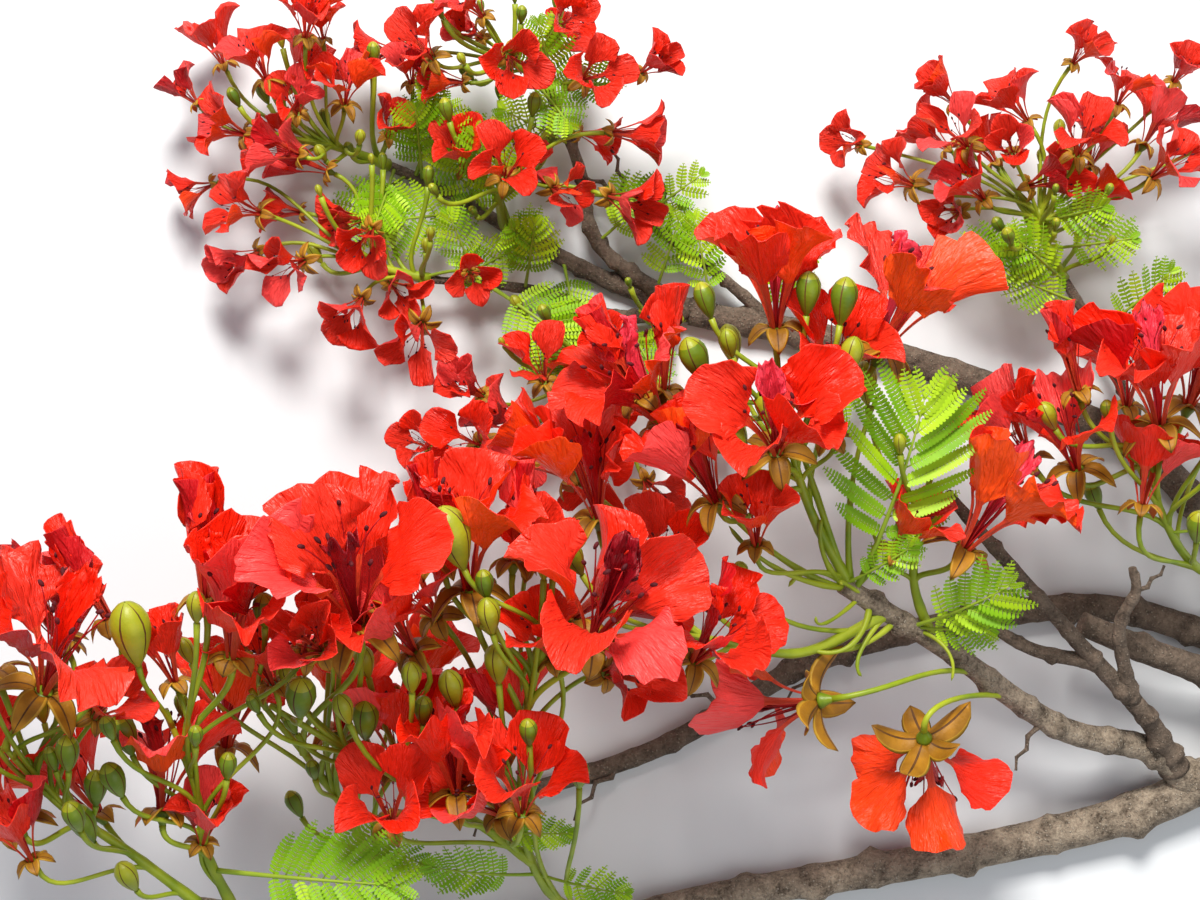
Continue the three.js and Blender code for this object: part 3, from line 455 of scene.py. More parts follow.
# Small leaves on the limbs, which the frame leaves out: the share of the limb that each stands at, how far
# its tip is from there, the length of its longest pinna and its pairs of pinnae.
SMALL_LEAVES = [
    ("high_fork_up", 0.35, (30, 26, 16), 17, 4), ("high_fork_up", 0.75, (-34, 16, 14), 18, 4),
    ("high_fork_left", 0.5, (-22, -36, 16), 19, 4), ("high_fork_left", 0.85, (-14, 34, 20), 16, 4),
    ("high_tip", 0.4, (8, -40, 18), 19, 4), ("high_tip", 0.62, (-26, 34, 20), 18, 4),
    ("high_tip", 0.9, (-34, -24, 16), 17, 4), ("high_fork_bare", 0.75, (30, 20, 14), 14, 3),
    ("right_fork", 0.5, (38, 14, 18), 19, 4), ("right_fork", 0.85, (-36, 12, 20), 18, 4),
    ("high_limb", 0.93, (24, 42, 20), 18, 4), ("high_limb", 0.8, (-30, -36, 22), 20, 4),
    ("mid_limb", 0.86, (40, -2, 12), 15, 4),
    ("right_stem", 0.55, (36, 6, 12), 15, 4), ("left_stem_b", 0.25, (40, 0, 12), 13, 4),
    ("left_stem_a", 0.3, (44, -8, 10), 14, 4), ("left_stem_c", 0.4, (36, -18, 4), 14, 4),
    ("high_tip", 0.15, (14, 44, 22), 18, 4), ("high_tip", 0.75, (12, 36, 26), 17, 4),
    ("high_tip", 0.5, (-32, -20, 26), 17, 4), ("high_fork_up", 0.55, (36, -6, 26), 18, 4),
    ("high_fork_up", 0.95, (32, 10, 24), 16, 4), ("high_fork_left", 0.3, (18, -34, 18), 18, 4),
    ("right_fork", 0.7, (32, 30, 26), 18, 4), ("spray_right", 0.4, (40, 4, 16), 17, 4),
    ("spray_right", 0.6, (-40, -10, 14), 17, 4), ("spray_up", 0.4, (22, -30, 20), 16, 4),
    ("spray_rear", 0.5, (-30, 22, 14), 17, 4), ("high_limb", 0.98, (-8, 48, 26), 17, 4),
    ("high_tip", 0.55, (-16, 44, 50), 21, 5), ("high_tip", 0.45, (-16, 6, 52), 20, 5),
    ("high_fork_up", 0.9, (-8, 36, 44), 19, 4), ("high_tip", 0.95, (-6, -34, 46), 19, 4),
    ("high_tip", 0.85, (0, 30, 48), 20, 4), ("high_fork_left", 0.7, (6, 30, 40), 18, 4),
    ("right_fork", 0.95, (-34, 22, 34), 19, 4), ("spray_right", 0.8, (24, 4, 38), 19, 4),
    ("spray_right", 0.2, (-36, 2, 24), 18, 4), ("spray_rear", 0.8, (20, 26, 34), 18, 4),
    ("mid_limb", 0.99, (30, 22, 22), 14, 4),
]

# Green shoots at the middle limb's tip, which the frame leaves out: the share of the limb that each stands
# at, its reach, how far it bows aside, and its radius at the root.
SHOOTS = [
    (0.99, (-14, 34, 18), (-7, -2, 4), 1.7), (0.97, (-34, 4, 14), (-4, 12, 6), 1.5),
    (0.94, (-30, -22, 12), (6, -12, 8), 1.6), (0.9, (-14, -30, 10), (-10, -4, 6), 1.4),
    (0.98, (8, 30, 10), (8, 0, 4), 1.3), (0.88, (-44, -12, 16), (0, -10, 4), 1.5),
    (0.84, (16, -24, 12), (8, 4, 6), 1.2), (0.92, (-20, 12, 22), (-10, 8, 6), 1.2),
    (0.96, (-24, -8, 24), (-8, -10, 6), 1.1), (0.99, (-37, 104, 28), (-2, 4, 8), 1.9),
    (0.98, (-82, 67, 20), (-4, -14, 8), 1.8), (0.99, (-59, 31, 34), (-6, -8, 4), 1.6),
    (0.98, (11, 96, 24), (-10, 4, 10), 1.7),
]

# Bare twigs on the limbs, which the frame leaves out: the share of the limb that each stands at and its
# reach.
TWIGLETS = [
    ("rear_limb", 0.55, (-26, -22, 10)), ("rear_limb", 0.7, (-34, 14, 16)),
    ("rear_limb", 0.85, (-24, -26, 14)), ("rear_limb", 0.99, (-30, 6, 6)),
    ("rear_limb", 0.97, (-22, -18, 12)), ("high_fork_bare", 0.55, (-6, 32, 10)),
    ("high_fork_bare", 0.98, (-26, 12, 6)), ("high_fork_bare", 0.9, (-8, 26, 10)),
    ("bare_twig_low", 0.9, (-22, -10, 6)), ("bare_twig_long", 0.72, (-26, 12, 4)),
    ("bare_twig_upright", 0.6, (14, 16, 8)), ("mid_limb", 0.55, (-14, -26, 8)),
    ("high_limb", 0.6, (-26, -24, 14)),
]


# The camera and the lights

def add_camera():
    """The camera stands straight over the limb, with the photograph's framing."""
    bpy.ops.object.camera_add(location=CAMERA_PLACE, rotation=(0, 0, 0))
    camera = bpy.context.object
    camera.data.sensor_width = SENSOR_WIDTH
    camera.data.lens = LENS
    bpy.context.scene.camera = camera


def add_softbox(name, place, size, watts):
    """A square soft light that shines at the middle of the limb."""
    bpy.ops.object.light_add(type="AREA", location=place)
    light = bpy.context.object
    light.name = name
    light.data.size = size
    light.data.energy = watts
    light.data.color = LIGHT_TINT
    toward = np.array(LIMB_MIDDLE) - np.array(place)
    level = math.hypot(toward[0], toward[1])
    light.rotation_euler = (math.atan2(level, -toward[2]), 0, math.atan2(-toward[0], toward[1]))


def add_light():
    """A key light beyond the top of the view, a weak fill on the other side, and a pale surround."""
    for name, light in LIGHTS.items():
        add_softbox(name, *light)
    world = bpy.data.worlds.new("surround")
    world.use_nodes = True
    background = world.node_tree.nodes["Background"]
    background.inputs["Color"].default_value = SURROUND
    background.inputs["Strength"].default_value = SURROUND_STRENGTH
    bpy.context.scene.world = world
    bpy.context.scene.view_settings.view_transform = "Standard"


# Shader maths on sockets, and finishes

class Value:
    """An output socket that takes part in sums, each of which adds a Math node."""

    def __init__(self, finish, socket):
        self.finish = finish
        self.socket = socket

    def maths(self, operation, *values):
        return self.finish.node("ShaderNodeMath", dict(operation=operation), *values)

    def __add__(self, other):
        return self.maths("ADD", self, other)

    def __sub__(self, other):
        return self.maths("SUBTRACT", self, other)

    def __rsub__(self, other):
        return self.maths("SUBTRACT", other, self)

    def __mul__(self, other):
        return self.maths("MULTIPLY", self, other)

    __radd__ = __add__
    __rmul__ = __mul__


class Finish:
    """A material whose nodes are added one by one."""

    def __init__(self, name, roughness):
        self.material = bpy.data.materials.new(name)
        self.material.use_nodes = True
        self.tree = self.material.node_tree
        self.shader = self.tree.nodes["Principled BSDF"]
        self.set(Roughness=roughness)

    def node(self, kind, settings, *values, output=0, **named):
        """Adds a node: its settings come first, then the values or links of its sockets, by order or by name.
        A ramp's stops are a setting: a place and a colour each."""
        made = self.tree.nodes.new(kind)
        for key, setting in settings.items():
            if key == "stops":
                for element, (place, colour) in zip(made.color_ramp.elements, setting):
                    element.position = place
                    element.color = (*colour, 1)
            else:
                setattr(made, key, setting)
        for socket, value in zip(made.inputs, values):
            self.feed(socket, value)
        for key, value in named.items():
            self.feed(made.inputs[key], value)
        return Value(self, made.outputs[output])

    def feed(self, socket, value):
        if isinstance(value, Value):
            self.tree.links.new(value.socket, socket)
        else:
            socket.default_value = value

    def place(self):
        return self.node("ShaderNodeTexCoord", {}, output="Object")

    def noise(self, scale, detail=2, rough=0.5, place=None):
        """Noise over the piece's own coordinates, or over another place, with so many cells to their unit."""
        return self.node("ShaderNodeTexNoise", {}, Vector=place or self.place(), Scale=scale, Detail=detail,
                         Roughness=rough)

    def ramp(self, factor, *stops):
        return self.node("ShaderNodeValToRGB", dict(stops=stops), factor)

    def blend(self, factor, under, over):
        return self.node("ShaderNodeMix", dict(data_type="RGBA"), output=2, Factor=factor, A=under, B=over)

    def bump(self, height, depth):
        """A bump of so many metres."""
        self.set(Normal=self.node("ShaderNodeBump", {}, Strength=1, Distance=depth, Height=height))

    def set(self, **sockets):
        for name, value in sockets.items():
            self.feed(self.shader.inputs[name.replace("_", " ")], value)


def tinted(name, dark, light, roughness, cells, depth, glow=0, gloss=0.25):
    """Soft plant tissue: a colour that drifts between two tints, with fine crinkles, and for some a painted
    glow in the light tint.
    """
    finish = Finish(name, roughness)
    tone = finish.ramp(finish.noise(cells, 3), (0.3, dark), (0.7, light))
    finish.set(Base_Color=tone, Specular_IOR_Level=gloss)
    finish.bump(finish.noise(cells * 9, 3, 0.6), depth)
    # Painted glow: emission in the light tint stands in for light shining through the tissue.
    if glow:
        finish.set(Emission_Color=(*light, 1), Emission_Strength=glow)
    return finish


def petal_finish(name, colour, glow, roughness=0.42):
    """A petal's plain colour, with crepe wrinkles that fan out from its claw, and a painted glow in that
    colour.
    """
    finish = Finish(name, roughness)
    fan = finish.node("ShaderNodeUVMap", dict(uv_map=FAN))
    # Painted glow: emission in the petal's colour stands in for light shining through it and lifts its shade.
    finish.set(Base_Color=(*colour, 1), Emission_Color=(*colour, 1), Emission_Strength=glow,
               Specular_IOR_Level=0.42)
    finish.bump(finish.noise(0.34, 3, 0.6, fan) + finish.noise(1.1, 3, 0.6, fan) * 0.55, 0.0048)
    return finish


def bark_finish(name, dark, light, pore):
    """Grey-brown bark with fine cracks and pale pores."""
    finish = Finish(name, 0.85)
    drift = finish.noise(100, 6, 0.7)
    streak = finish.noise(700, 5, 0.7)
    cells = finish.node("ShaderNodeTexVoronoi", dict(feature="F1"), Vector=finish.place(), Scale=420)
    pores = finish.node("ShaderNodeMapRange", {}, cells, 0.14, 0.26, 1.0, 0.0)
    tone = finish.ramp(drift * 0.6 + streak * 0.4, (0.38, dark), (0.60, light))
    finish.set(Base_Color=finish.blend(pores * 0.6, tone, (*pore, 1)), Specular_IOR_Level=0.3)
    finish.bump(streak + pores * 0.8 + drift * 1.5, 0.0014)
    return finish


def sawn_finish():
    """The sawn face of the limb: pale wood with growth rings, darker towards the bark."""
    finish = Finish("sawn_wood", 0.8)
    place = finish.node("ShaderNodeMapping", {}, Vector=finish.place(), Scale=(0, 1, 1))
    out = finish.node("ShaderNodeVectorMath", dict(operation="LENGTH"), place, output=1)
    years = out * RINGS_PER_METRE + finish.noise(160, 3) * 1.6
    rings = years.maths("SINE", years * 6.28)
    tone = finish.ramp(rings * 0.5 + 0.5, (0.2, SAWN_DARK), (0.9, SAWN_LIGHT))
    rim = finish.node("ShaderNodeMapRange", {}, out, SAWN_RADIUS * MM * 0.8, SAWN_RADIUS * MM * 0.9, 0.0, 1.0)
    finish.set(Base_Color=finish.blend(rim, tone, SAWN_RIM), Specular_IOR_Level=0.2)
    finish.bump(rings * 0.4 + finish.noise(1500, 2), 0.0002)
    return finish


def make_finishes():
    """Every finish of the limb, by name."""
    finishes = {"sawn_wood": sawn_finish()}
    for make, table in ((petal_finish, PETAL_TINTS), (tinted, TISSUES), (bark_finish, BARKS)):
        for name, entry in table.items():
            finishes[name] = make(name, *entry)
    return {name: finish.material for name, finish in finishes.items()}


# Numbers, noise and frames

def mix(a, b, share):
    return a + (b - a) * share


def smooth(x):
    """Rises softly from 0 to 1 as x does."""
    x = np.clip(x, 0, 1)
    return x * x * (3 - 2 * x)


def chance(seed):
    """A number from 0 to 1 that is always the same for the same seed."""
    wave = math.sin(seed * 12.9898) * 43758.5453
    return wave - math.floor(wave)


def deal(choices, seed):
    """One of some names, each with its share of the whole."""
    drawn = chance(seed)
    for name, share in choices.items():
        drawn -= share
        if drawn < 0:
            return name
    return name


def unit(v):
    v = np.asarray(v, float)
    return v / np.linalg.norm(v, axis=-1, keepdims=True)


def grain(spots, size, seed):
    """Smooth noise from -1 to 1 over spots in space, with cells of a size."""
    scaled = spots / size + seed * 17.31
    cell = np.floor(scaled)
    u, v, w = np.moveaxis(smooth(scaled - cell), -1, 0)

    def corner(i, j, k):
        wave = np.sin((cell + (i, j, k)) @ (127.1, 311.7, 74.7)) * 43758.5453
        return (wave - np.floor(wave)) * 2 - 1

    sides = [mix(mix(corner(0, 0, k), corner(1, 0, k), u), mix(corner(0, 1, k), corner(1, 1, k), u), v)
             for k in (0, 1)]
    return mix(sides[0], sides[1], w)


def bezier(start, near, far, end, shares):
    t = np.asarray(shares)[:, None]
    return start * (1 - t) ** 3 + near * 3 * t * (1 - t) ** 2 + far * 3 * t * t * (1 - t) + end * t ** 3


def turns(sides):
    """Angles evenly round a whole turn."""
    return np.arange(sides) * 2 * math.pi / sides


def square_to(axis):
    """Two directions square to an axis and to each other."""
    guide = (1, 0, 0) if abs(axis[2]) > 0.9 else (0, 0, 1)
    first = unit(np.cross(guide, axis))
    return first, np.cross(axis, first)


def rings(points, heading, radii, sides):
    """Rings of spots round a chain of points, row by row, which turn as little as they can.
    The radii are one for each ring, or one for each spot."""
    across = np.array((1.0, 0, 0) if abs(heading[0][2]) > 0.9 else (0, 0, 1.0))
    first = []
    for ahead in heading:
        across = unit(across - ahead * (across @ ahead))
        first.append(across)
    first = np.array(first)
    second = np.cross(heading, first)
    turn = turns(sides)[:, None]
    out = first[:, None] * np.cos(turn) + second[:, None] * np.sin(turn)
    radii = np.asarray(radii, float)
    return points[:, None] + out * (radii[:, None, None] if radii.ndim == 1 else radii[..., None])


class Line:
    """The line of a limb or stem, from its root at 0 to its tip at 1. Its root is moved onto its parent's."""

    def __init__(self, places, radii=STEM_RADII, on=None, **_):
        self.radii = radii
        last = len(places) - 1
        spots = [(*place[:2], place[2] if len(place) > 2 else GROUND + mix(*radii, i / last))
                 for i, place in enumerate(places)]
        self.spots = np.array(spots, float)
        if on:
            parent = lines[on]
            self.spots[0] = parent.at(parent.nearest(self.spots[0]))

    def curve(self, share):
        """The spot and the heading at a share, on a smooth curve through the places."""
        spots = self.spots
        last = len(spots) - 1
        whole = min(int(share * last), last - 1)
        t = share * last - whole
        before = spots[whole - 1] if whole > 0 else 2 * spots[0] - spots[1]
        after = spots[whole + 2] if whole + 2 <= last else 2 * spots[last] - spots[last - 1]
        start, end = spots[whole], spots[whole + 1]
        leave, arrive = (end - before) / 2, (after - start) / 2
        square = -3 * start + 3 * end - 2 * leave - arrive
        cube = 2 * start - 2 * end + leave + arrive
        return start + leave * t + square * t * t + cube * t ** 3, leave + 2 * square * t + 3 * cube * t * t

    def radius(self, share):
        return mix(*self.radii, share)

    def at(self, share):
        spot = self.curve(share)[0]
        spot[2] = max(spot[2], GROUND + self.radius(share))
        return spot

    def toward(self, share):
        return unit(self.curve(share)[1])

    def nearest(self, spot):
        return min(LINE_SHARES, key=lambda share: np.linalg.norm(self.at(share) - spot))

    def length(self):
        walk = np.array([self.at(share) for share in LINE_SHARES])
        return np.linalg.norm(np.diff(walk, axis=0), axis=1).sum()

    def stations(self, gap):
        """Where the rings of its mesh stand: their shares, radii, middles and headings. There is one to each
        gap, and more at both ends to round them off to a point."""
        steps = int(self.length() / gap)
        shares = [i / steps for i in range(steps + 1)]
        radii = [self.radius(share) for share in shares]
        tail = [math.cos(math.pi / 2 * (i + 1) / END_RINGS) for i in range(END_RINGS)]
        shares = [shares[0]] * END_RINGS + shares + [shares[-1]] * END_RINGS
        radii = [radii[0] * scale for scale in tail[::-1]] + radii + [radii[-1] * scale for scale in tail]
        points = np.array([self.at(share) for share in shares])
        heading = np.array([self.toward(share) for share in shares])
        return np.array(shares), np.array(radii), points, heading


# Meshes from arrays, for what is small and many

def grid_faces(rows, columns, wrapped=False):
    """The four-cornered faces of a grid of spots. A wrapped grid's last column meets its first."""
    row, column = np.meshgrid(np.arange(rows - 1), np.arange(columns if wrapped else columns - 1),
                              indexing="ij")
    beside = (column + 1) % columns
    faces = np.stack([row * columns + column, row * columns + beside,
                      (row + 1) * columns + beside, (row + 1) * columns + column], axis=-1)
    return faces.reshape(-1, 4)


class Mass:
    """Small things of one kind, gathered into one mesh, with a finish for each face."""

    def __init__(self, *finishes):
        self.finishes = list(finishes)
        self.spots = []
        self.corners = []
        self.sizes = []
        self.choices = []
        self.fans = []
        self.total = 0

    def add(self, spots, faces, finish, fan=None):
        """Adds spots, and faces with the same number of corners. The finish is one name, or one for each
        face. A petal's fan gives each spot its place on it. Without spots, the faces join the next ones."""
        faces = np.asarray(faces)
        names = [finish] * len(faces) if isinstance(finish, str) else finish
        self.corners.append((faces + self.total).ravel())
        self.sizes.append(np.full(len(faces), faces.shape[1]))
        self.choices.append(np.array([self.finishes.index(name) for name in names]))
        if spots is not None:
            self.spots.append(np.reshape(spots, (-1, 3)))
            self.fans.append(np.zeros((len(self.spots[-1]), 2)) if fan is None else fan)
            self.total += len(self.spots[-1])

    def tube(self, points, radii, sides, finish):
        """A closed tube along a chain of points."""
        points = np.asarray(points, float)
        start = self.total
        heading = unit(np.gradient(points, axis=0))
        self.add(rings(points, heading, radii, sides), grid_faces(len(points), sides, wrapped=True), finish)
        self.corners += [start + np.arange(sides)[::-1], self.total - sides + np.arange(sides)]
        self.sizes.append(np.array([sides, sides]))
        self.choices.append(np.full(2, self.finishes.index(finish)))

    def shell(self, grid, thickness, front, back, fan=None):
        """A thin closed sheet over a grid of spots. Its back lies behind it, and both meet all round the
        edge. Front and back are a finish each, or one for each column of faces, or one for each face."""
        rows, columns = grid.shape[:2]
        along, across = np.gradient(grid, axis=(0, 1))
        normal = np.cross(across, along)
        normal /= np.linalg.norm(normal, axis=-1, keepdims=True) + 1e-9
        inner = (slice(1, -1), slice(1, -1))
        front_index = np.arange(rows * columns).reshape(rows, columns)
        back_index = front_index.copy()
        back_index[inner] = rows * columns + np.arange((rows - 2) * (columns - 2)).reshape(rows - 2, -1)
        spots = np.concatenate([grid.reshape(-1, 3), (grid - normal * thickness)[inner].reshape(-1, 3)])
        if fan is not None:
            fan = np.concatenate([fan.reshape(-1, 2), fan[inner].reshape(-1, 2)])
        faces = grid_faces(rows, columns)
        names = [finish if isinstance(finish, str) or len(finish) == len(faces) else finish * (rows - 1)
                 for finish in (front, back)]
        self.add(None, front_index.ravel()[faces], names[0])
        self.add(spots, back_index.ravel()[faces][:, [0, 3, 2, 1]], names[1], fan)

    def make(self, name, slot, *nodes):
        """The piece, riding on the limb. It stands for the nodes that are named."""
        mesh = bpy.data.meshes.new(name)
        spots = np.concatenate(self.spots) * MM
        corners = np.concatenate(self.corners)
        sizes = np.concatenate(self.sizes)
        mesh.vertices.add(len(spots))
        mesh.vertices.foreach_set("co", spots.ravel())
        mesh.loops.add(len(corners))
        mesh.loops.foreach_set("vertex_index", corners)
        mesh.polygons.add(len(sizes))
        mesh.polygons.foreach_set("loop_start", np.cumsum(sizes) - sizes)
        mesh.polygons.foreach_set("material_index", np.concatenate(self.choices))
        mesh.polygons.foreach_set("use_smooth", np.ones(len(sizes), bool))
        fans = np.concatenate(self.fans)
        if fans.any():
            mesh.uv_layers.new(name=FAN).data.foreach_set("uv", fans[corners].ravel())
        for finish in self.finishes:
            mesh.materials.append(FINISHES[finish])
        mesh.update(calc_edges=True)
        piece = bpy.data.objects.new(name, mesh)
        bpy.context.scene.collection.objects.link(piece)
        settle(piece, slot, *nodes)


def settle(piece, slot, *nodes):
    """The piece rides on the limb, and stands for the nodes that are named."""
    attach(piece, "root")
    if nodes:
        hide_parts(*nodes)


# Limbs and stems

def roll(name, spots, finish):
    """A grid of faces rolled round into a closed tube. Its first and last rings are drawn in to a point."""
    rows, sides = spots.shape[:2]
    bpy.ops.object.select_all(action="DESELECT")
    bpy.ops.mesh.primitive_grid_add(x_subdivisions=sides, y_subdivisions=rows - 1, size=2)
    piece = bpy.context.object
    piece.name = name
    piece.data.name = name
    flat = np.empty(len(piece.data.vertices) * 3)
    piece.data.vertices.foreach_get("co", flat)
    flat = flat.reshape(-1, 3)
    column = np.rint((flat[:, 0] + 1) / 2 * sides).astype(int) % sides
    row = np.rint((flat[:, 1] + 1) / 2 * (rows - 1)).astype(int)
    piece.data.vertices.foreach_set("co", (spots[row, column] * MM).ravel())
    bpy.ops.object.mode_set(mode="EDIT")
    bpy.ops.mesh.select_all(action="SELECT")
    bpy.ops.mesh.remove_doubles(threshold=1e-6)
    bpy.ops.mesh.normals_make_consistent(inside=False)
    bpy.ops.object.mode_set(mode="OBJECT")
    bpy.ops.object.shade_smooth()
    piece.data.materials.clear()
    piece.data.materials.append(FINISHES[finish])
    return piece


def saw_off(piece):
    """Gives the limb's sawn face its own finish and a sharp edge."""
    piece.data.materials.append(FINISHES["sawn_wood"])
    for face in piece.data.polygons:
        if face.normal.x > 0.9 and face.center.x > -MM:
            face.material_index = 1
            face.use_smooth = False


def limb_piece(name, line, seed):
    """A limb with the relief of its bark: swellings, ring scars, wrinkles, knobs and a collar at its root."""
    girth = line.radius(0.5)
    turn = turns(LIMB_SIDES[0] if girth > THICK else LIMB_SIDES[1])
    _, radii, points, heading = line.stations(LIMB_RING_GAP)
    walk = np.concatenate([[0], np.cumsum(np.linalg.norm(np.diff(points, axis=0), axis=1))])
    barrel = np.stack(np.broadcast_arrays(walk[:, None] / 3, radii[:, None] * np.cos(turn),
                                          radii[:, None] * np.sin(turn)), axis=-1)
    swell = SWELLING * grain(barrel * (0.2, 0.5, 0.5), girth, seed)
    wrinkle = WRINKLE * grain(barrel * (1.6, 1, 1), girth * 0.28, seed + 1)
    scar_gap = 22 + girth * 2.2
    phase = (walk / scar_gap + 0.25 * np.sin(walk / 31 + seed)) % 1
    scar = RING_SCAR * np.exp(-((phase - 0.5) * scar_gap / SCAR_WIDTH) ** 2)[:, None]
    collar = (COLLAR * np.exp(-walk / (girth * 1.4)))[:, None] if seed else 0
    scale = 1 + swell + wrinkle + scar * (1 + 0.6 * grain(barrel, girth * 0.7, seed + 2)) + collar
    scale = scale + knobs(walk, turn, girth, seed)
    spots = rings(points, heading, radii[:, None] * scale, len(turn))
    spots[..., 2] = np.maximum(spots[..., 2], GROUND)
    if name == "main_limb":
        spots[:END_RINGS + 1, :, 0] = 0
    # Limbs other than the main and middle ones get the darker twig bark, which paints shade on them.
    piece = roll(f"{name}_bark", spots, "bark" if name in PALE_LIMBS else "twig_bark")
    if name == "main_limb":
        saw_off(piece)
    settle(piece, "bark", name)


def knobs(walk, turn, girth, seed):
    """Old leaf scars and shoot stubs: one-sided knobs along a limb, each with a pit in its top."""
    draw = np.random.default_rng(seed + 11)
    raised = np.zeros((len(walk), len(turn)))
    middle = draw.uniform(1.5, 3) * girth
    hand = 1
    while middle < walk[-1]:
        facing = hand * draw.uniform(0.2, 1.7)
        along = (walk[:, None] - middle) / (girth * 0.6)
        round_it = np.angle(np.exp(1j * (turn - facing)))[None] / 0.7
        apart = along ** 2 + round_it ** 2
        height = draw.uniform(*KNOB_HEIGHTS)
        raised += height * np.exp(-apart) - height * 0.75 * np.exp(-apart * 12)
        raised += height * 0.25 * np.exp(-along ** 2 * 1.6)
        middle += girth * draw.uniform(*KNOB_GAPS)
        hand = -hand
    return raised


def stem_piece(name, line):
    """A smooth green stem with a swollen foot, and a small swelling every 22 mm, as where a stalk leaves."""
    shares, radii, points, heading = line.stations(STEM_RING_GAP)
    walk = shares * line.length()
    swell = STEM_SWELLING * np.cos(walk / 7 + chance(len(name)) * 6) ** 8
    swell = 1 + swell + STEM_FOOT * np.exp(-walk / 7)
    piece = roll(f"{name}_green", rings(points, heading, radii * swell, STEM_SIDES), "stem")
    settle(piece, "stem", name)


def add_twiglet(mass, number, on, share, reach):
    """A bare twig that zigzags from bud to bud to a blunt tip."""
    draw = np.random.default_rng(number + 5)
    root = lines[on].at(share)
    reach = np.array(reach, float)
    knots = np.arange(TWIGLET_KNOTS)
    aside = unit(np.cross(reach, (0, 0, 1.0))) * np.linalg.norm(reach) * ZIGZAG
    swing = (-1.0) ** knots * draw.uniform(0.4, 1, TWIGLET_KNOTS)
    spots = root + np.outer(np.linspace(0, 1, TWIGLET_KNOTS), reach) + np.outer(swing, aside)
    spots[0] = root
    fine = np.linspace(0, TWIGLET_KNOTS - 1, TWIGLET_RINGS)
    points = np.stack([np.interp(fine, knots, spots[:, axis]) for axis in range(3)], axis=-1)
    swell = 1 + 0.3 * np.exp(-((fine - np.rint(fine)) / 0.14) ** 2)
    mass.tube(points, np.linspace(*TWIGLET_RADII, TWIGLET_RINGS) * swell, THIN_SIDES, "twig_bark")


def add_shoot(mass, number, share, reach, bow, radius):
    """A tender green shoot that bows aside and ends in a bud scale."""
    root = lines["mid_limb"].at(share)
    reach = np.array(reach, float)
    shares = np.linspace(0, 1, SHOOT_RINGS)
    points = bezier(root, root + reach * 0.3 + bow, root + reach * 0.7 + bow, root + reach, shares)
    swell = 1 + 0.7 * np.exp(-((shares - 0.93) / 0.06) ** 2) + 0.2 * np.cos(shares * 9 + number) ** 8
    radii = radius * mix(1, 0.5, shares) * swell * np.sqrt(1.02 - shares ** 12)
    mass.tube(points, radii, THIN_SIDES, "stem")


# Blooms

class Bloom:
    """One bloom: its calyx, its axis, two directions square to it, and what the rules say of its petals."""

    def __init__(self, seed, on, at, faces, size, open=SMALL_OPEN, spin=None, drop=None, small=False,
                 furled=False):
        self.seed = seed
        self.stem = lines[on]
        self.calyx = np.array(at, float)
        self.axis = unit(faces)
        self.first, self.second = square_to(self.axis)
        self.size = size
        self.open = open
        self.spin = math.radians(360 * chance(seed) if spin is None else spin)
        self.drop = drop
        self.small = small
        self.furled = furled
        self.hangs = self.axis[2] < HANGING

    def away(self, azimuth):
        return self.first * math.cos(azimuth) + self.second * math.sin(azimuth)

    def between(self, i):
        """The direction of a sepal, which stands between two petals."""
        return self.away(self.spin + (2 * i + 1) * math.pi / PETALS)

    def above(self, height):
        """A spot at a height over the calyx, in sizes of the bloom."""
        return self.calyx + self.axis * height * self.size

    def blade(self, azimuth, leans, length, twist, shares, ring=RING):
        """The middle line of a blade, and the directions across it and through it towards the axis."""
        away = self.away(azimuth)
        side = np.cross(self.axis, away)
        root, tip = (math.radians(lean) for lean in leans)
        bend = length * self.size / (tip - root)
        lean = mix(root, tip, np.asarray(shares, float))[:, None]
        out = ring * self.size + bend * (math.cos(root) - np.cos(lean))
        rise = bend * (np.sin(lean) - math.sin(root)) - SINK
        inward = self.axis * np.sin(lean) - away * np.cos(lean)
        turn = twist * np.asarray(shares, float)[:, None]
        across = side * np.cos(turn) + inward * np.sin(turn)
        through = inward * np.cos(turn) - side * np.sin(turn)
        return self.calyx + away * out + self.axis * rise, across, through

    def petals(self):
        """Each petal's azimuth, leans, length, twist and half width of its tip. A large bloom's first is its
        standard."""
        count = SMALL_PETALS if self.small else PETALS
        for i in range(count):
            seed = self.seed * 7 + i
            azimuth = self.spin + i * 2 * math.pi / count + (chance(seed) - 0.5) * PETAL_SWAY
            if i == 0 and not self.small:
                yield azimuth, STANDARD_LEANS, PETAL_LENGTH, 0, STANDARD_TIP * STANDARD_HALF
                continue
            leans = FURLED_LEANS if self.furled else (CLAW_LEAN, mix(CLAW_LEAN, WIDEST_LEAN, self.open))
            length = PETAL_LENGTH * mix(*PETAL_LENGTHS, chance(seed + SALT["length"]))
            twist = 0 if self.small else (chance(seed + SALT["twist"]) - 0.5) * PETAL_TWIST
            yield azimuth, leans, length, twist, (SMALL_TIP if self.small else PETAL_TIP) * PETAL_HALF

    def placed(self, corners):
        """The petals as the frame has them: each as it was swung and turned, where its tip is found there."""
        for order, (azimuth, leans, length, twist, half) in enumerate(self.petals()):
            for swing, turn in SWINGS:
                swung = (leans[0] + swing * 0.25, max(leans[0] + 8, leans[1] + swing))
                turned = azimuth + math.radians(turn)
                centre, across, _ = self.blade(turned, swung, length, twist, [1.0])
                tips = centre + np.array([[1], [-1]]) * across * half * self.size
                if found(corners, tips):
                    yield order, turned, swung, length, twist
                    break

    def fold(self, corners):
        """How far the frame's sepals reach out, as a share of their full reach."""
        for fold in SEPAL_FOLDS:
            drawn = max(fold, SEPAL_RING / SEPAL_REACH) * self.size
            tips = [self.calyx - self.axis * SEPAL_FALL * drawn + self.between(i) * SEPAL_REACH * drawn
                    for i in range(PETALS)]
            if found(corners, np.array(tips)):
                return fold
        return SEPAL_FOLDS[-1]


def found(corners, tips):
    """Whether any of some tips is one of the frame's corners."""
    return np.linalg.norm(corners[:, None] - tips[None], axis=-1).min() < MATCH


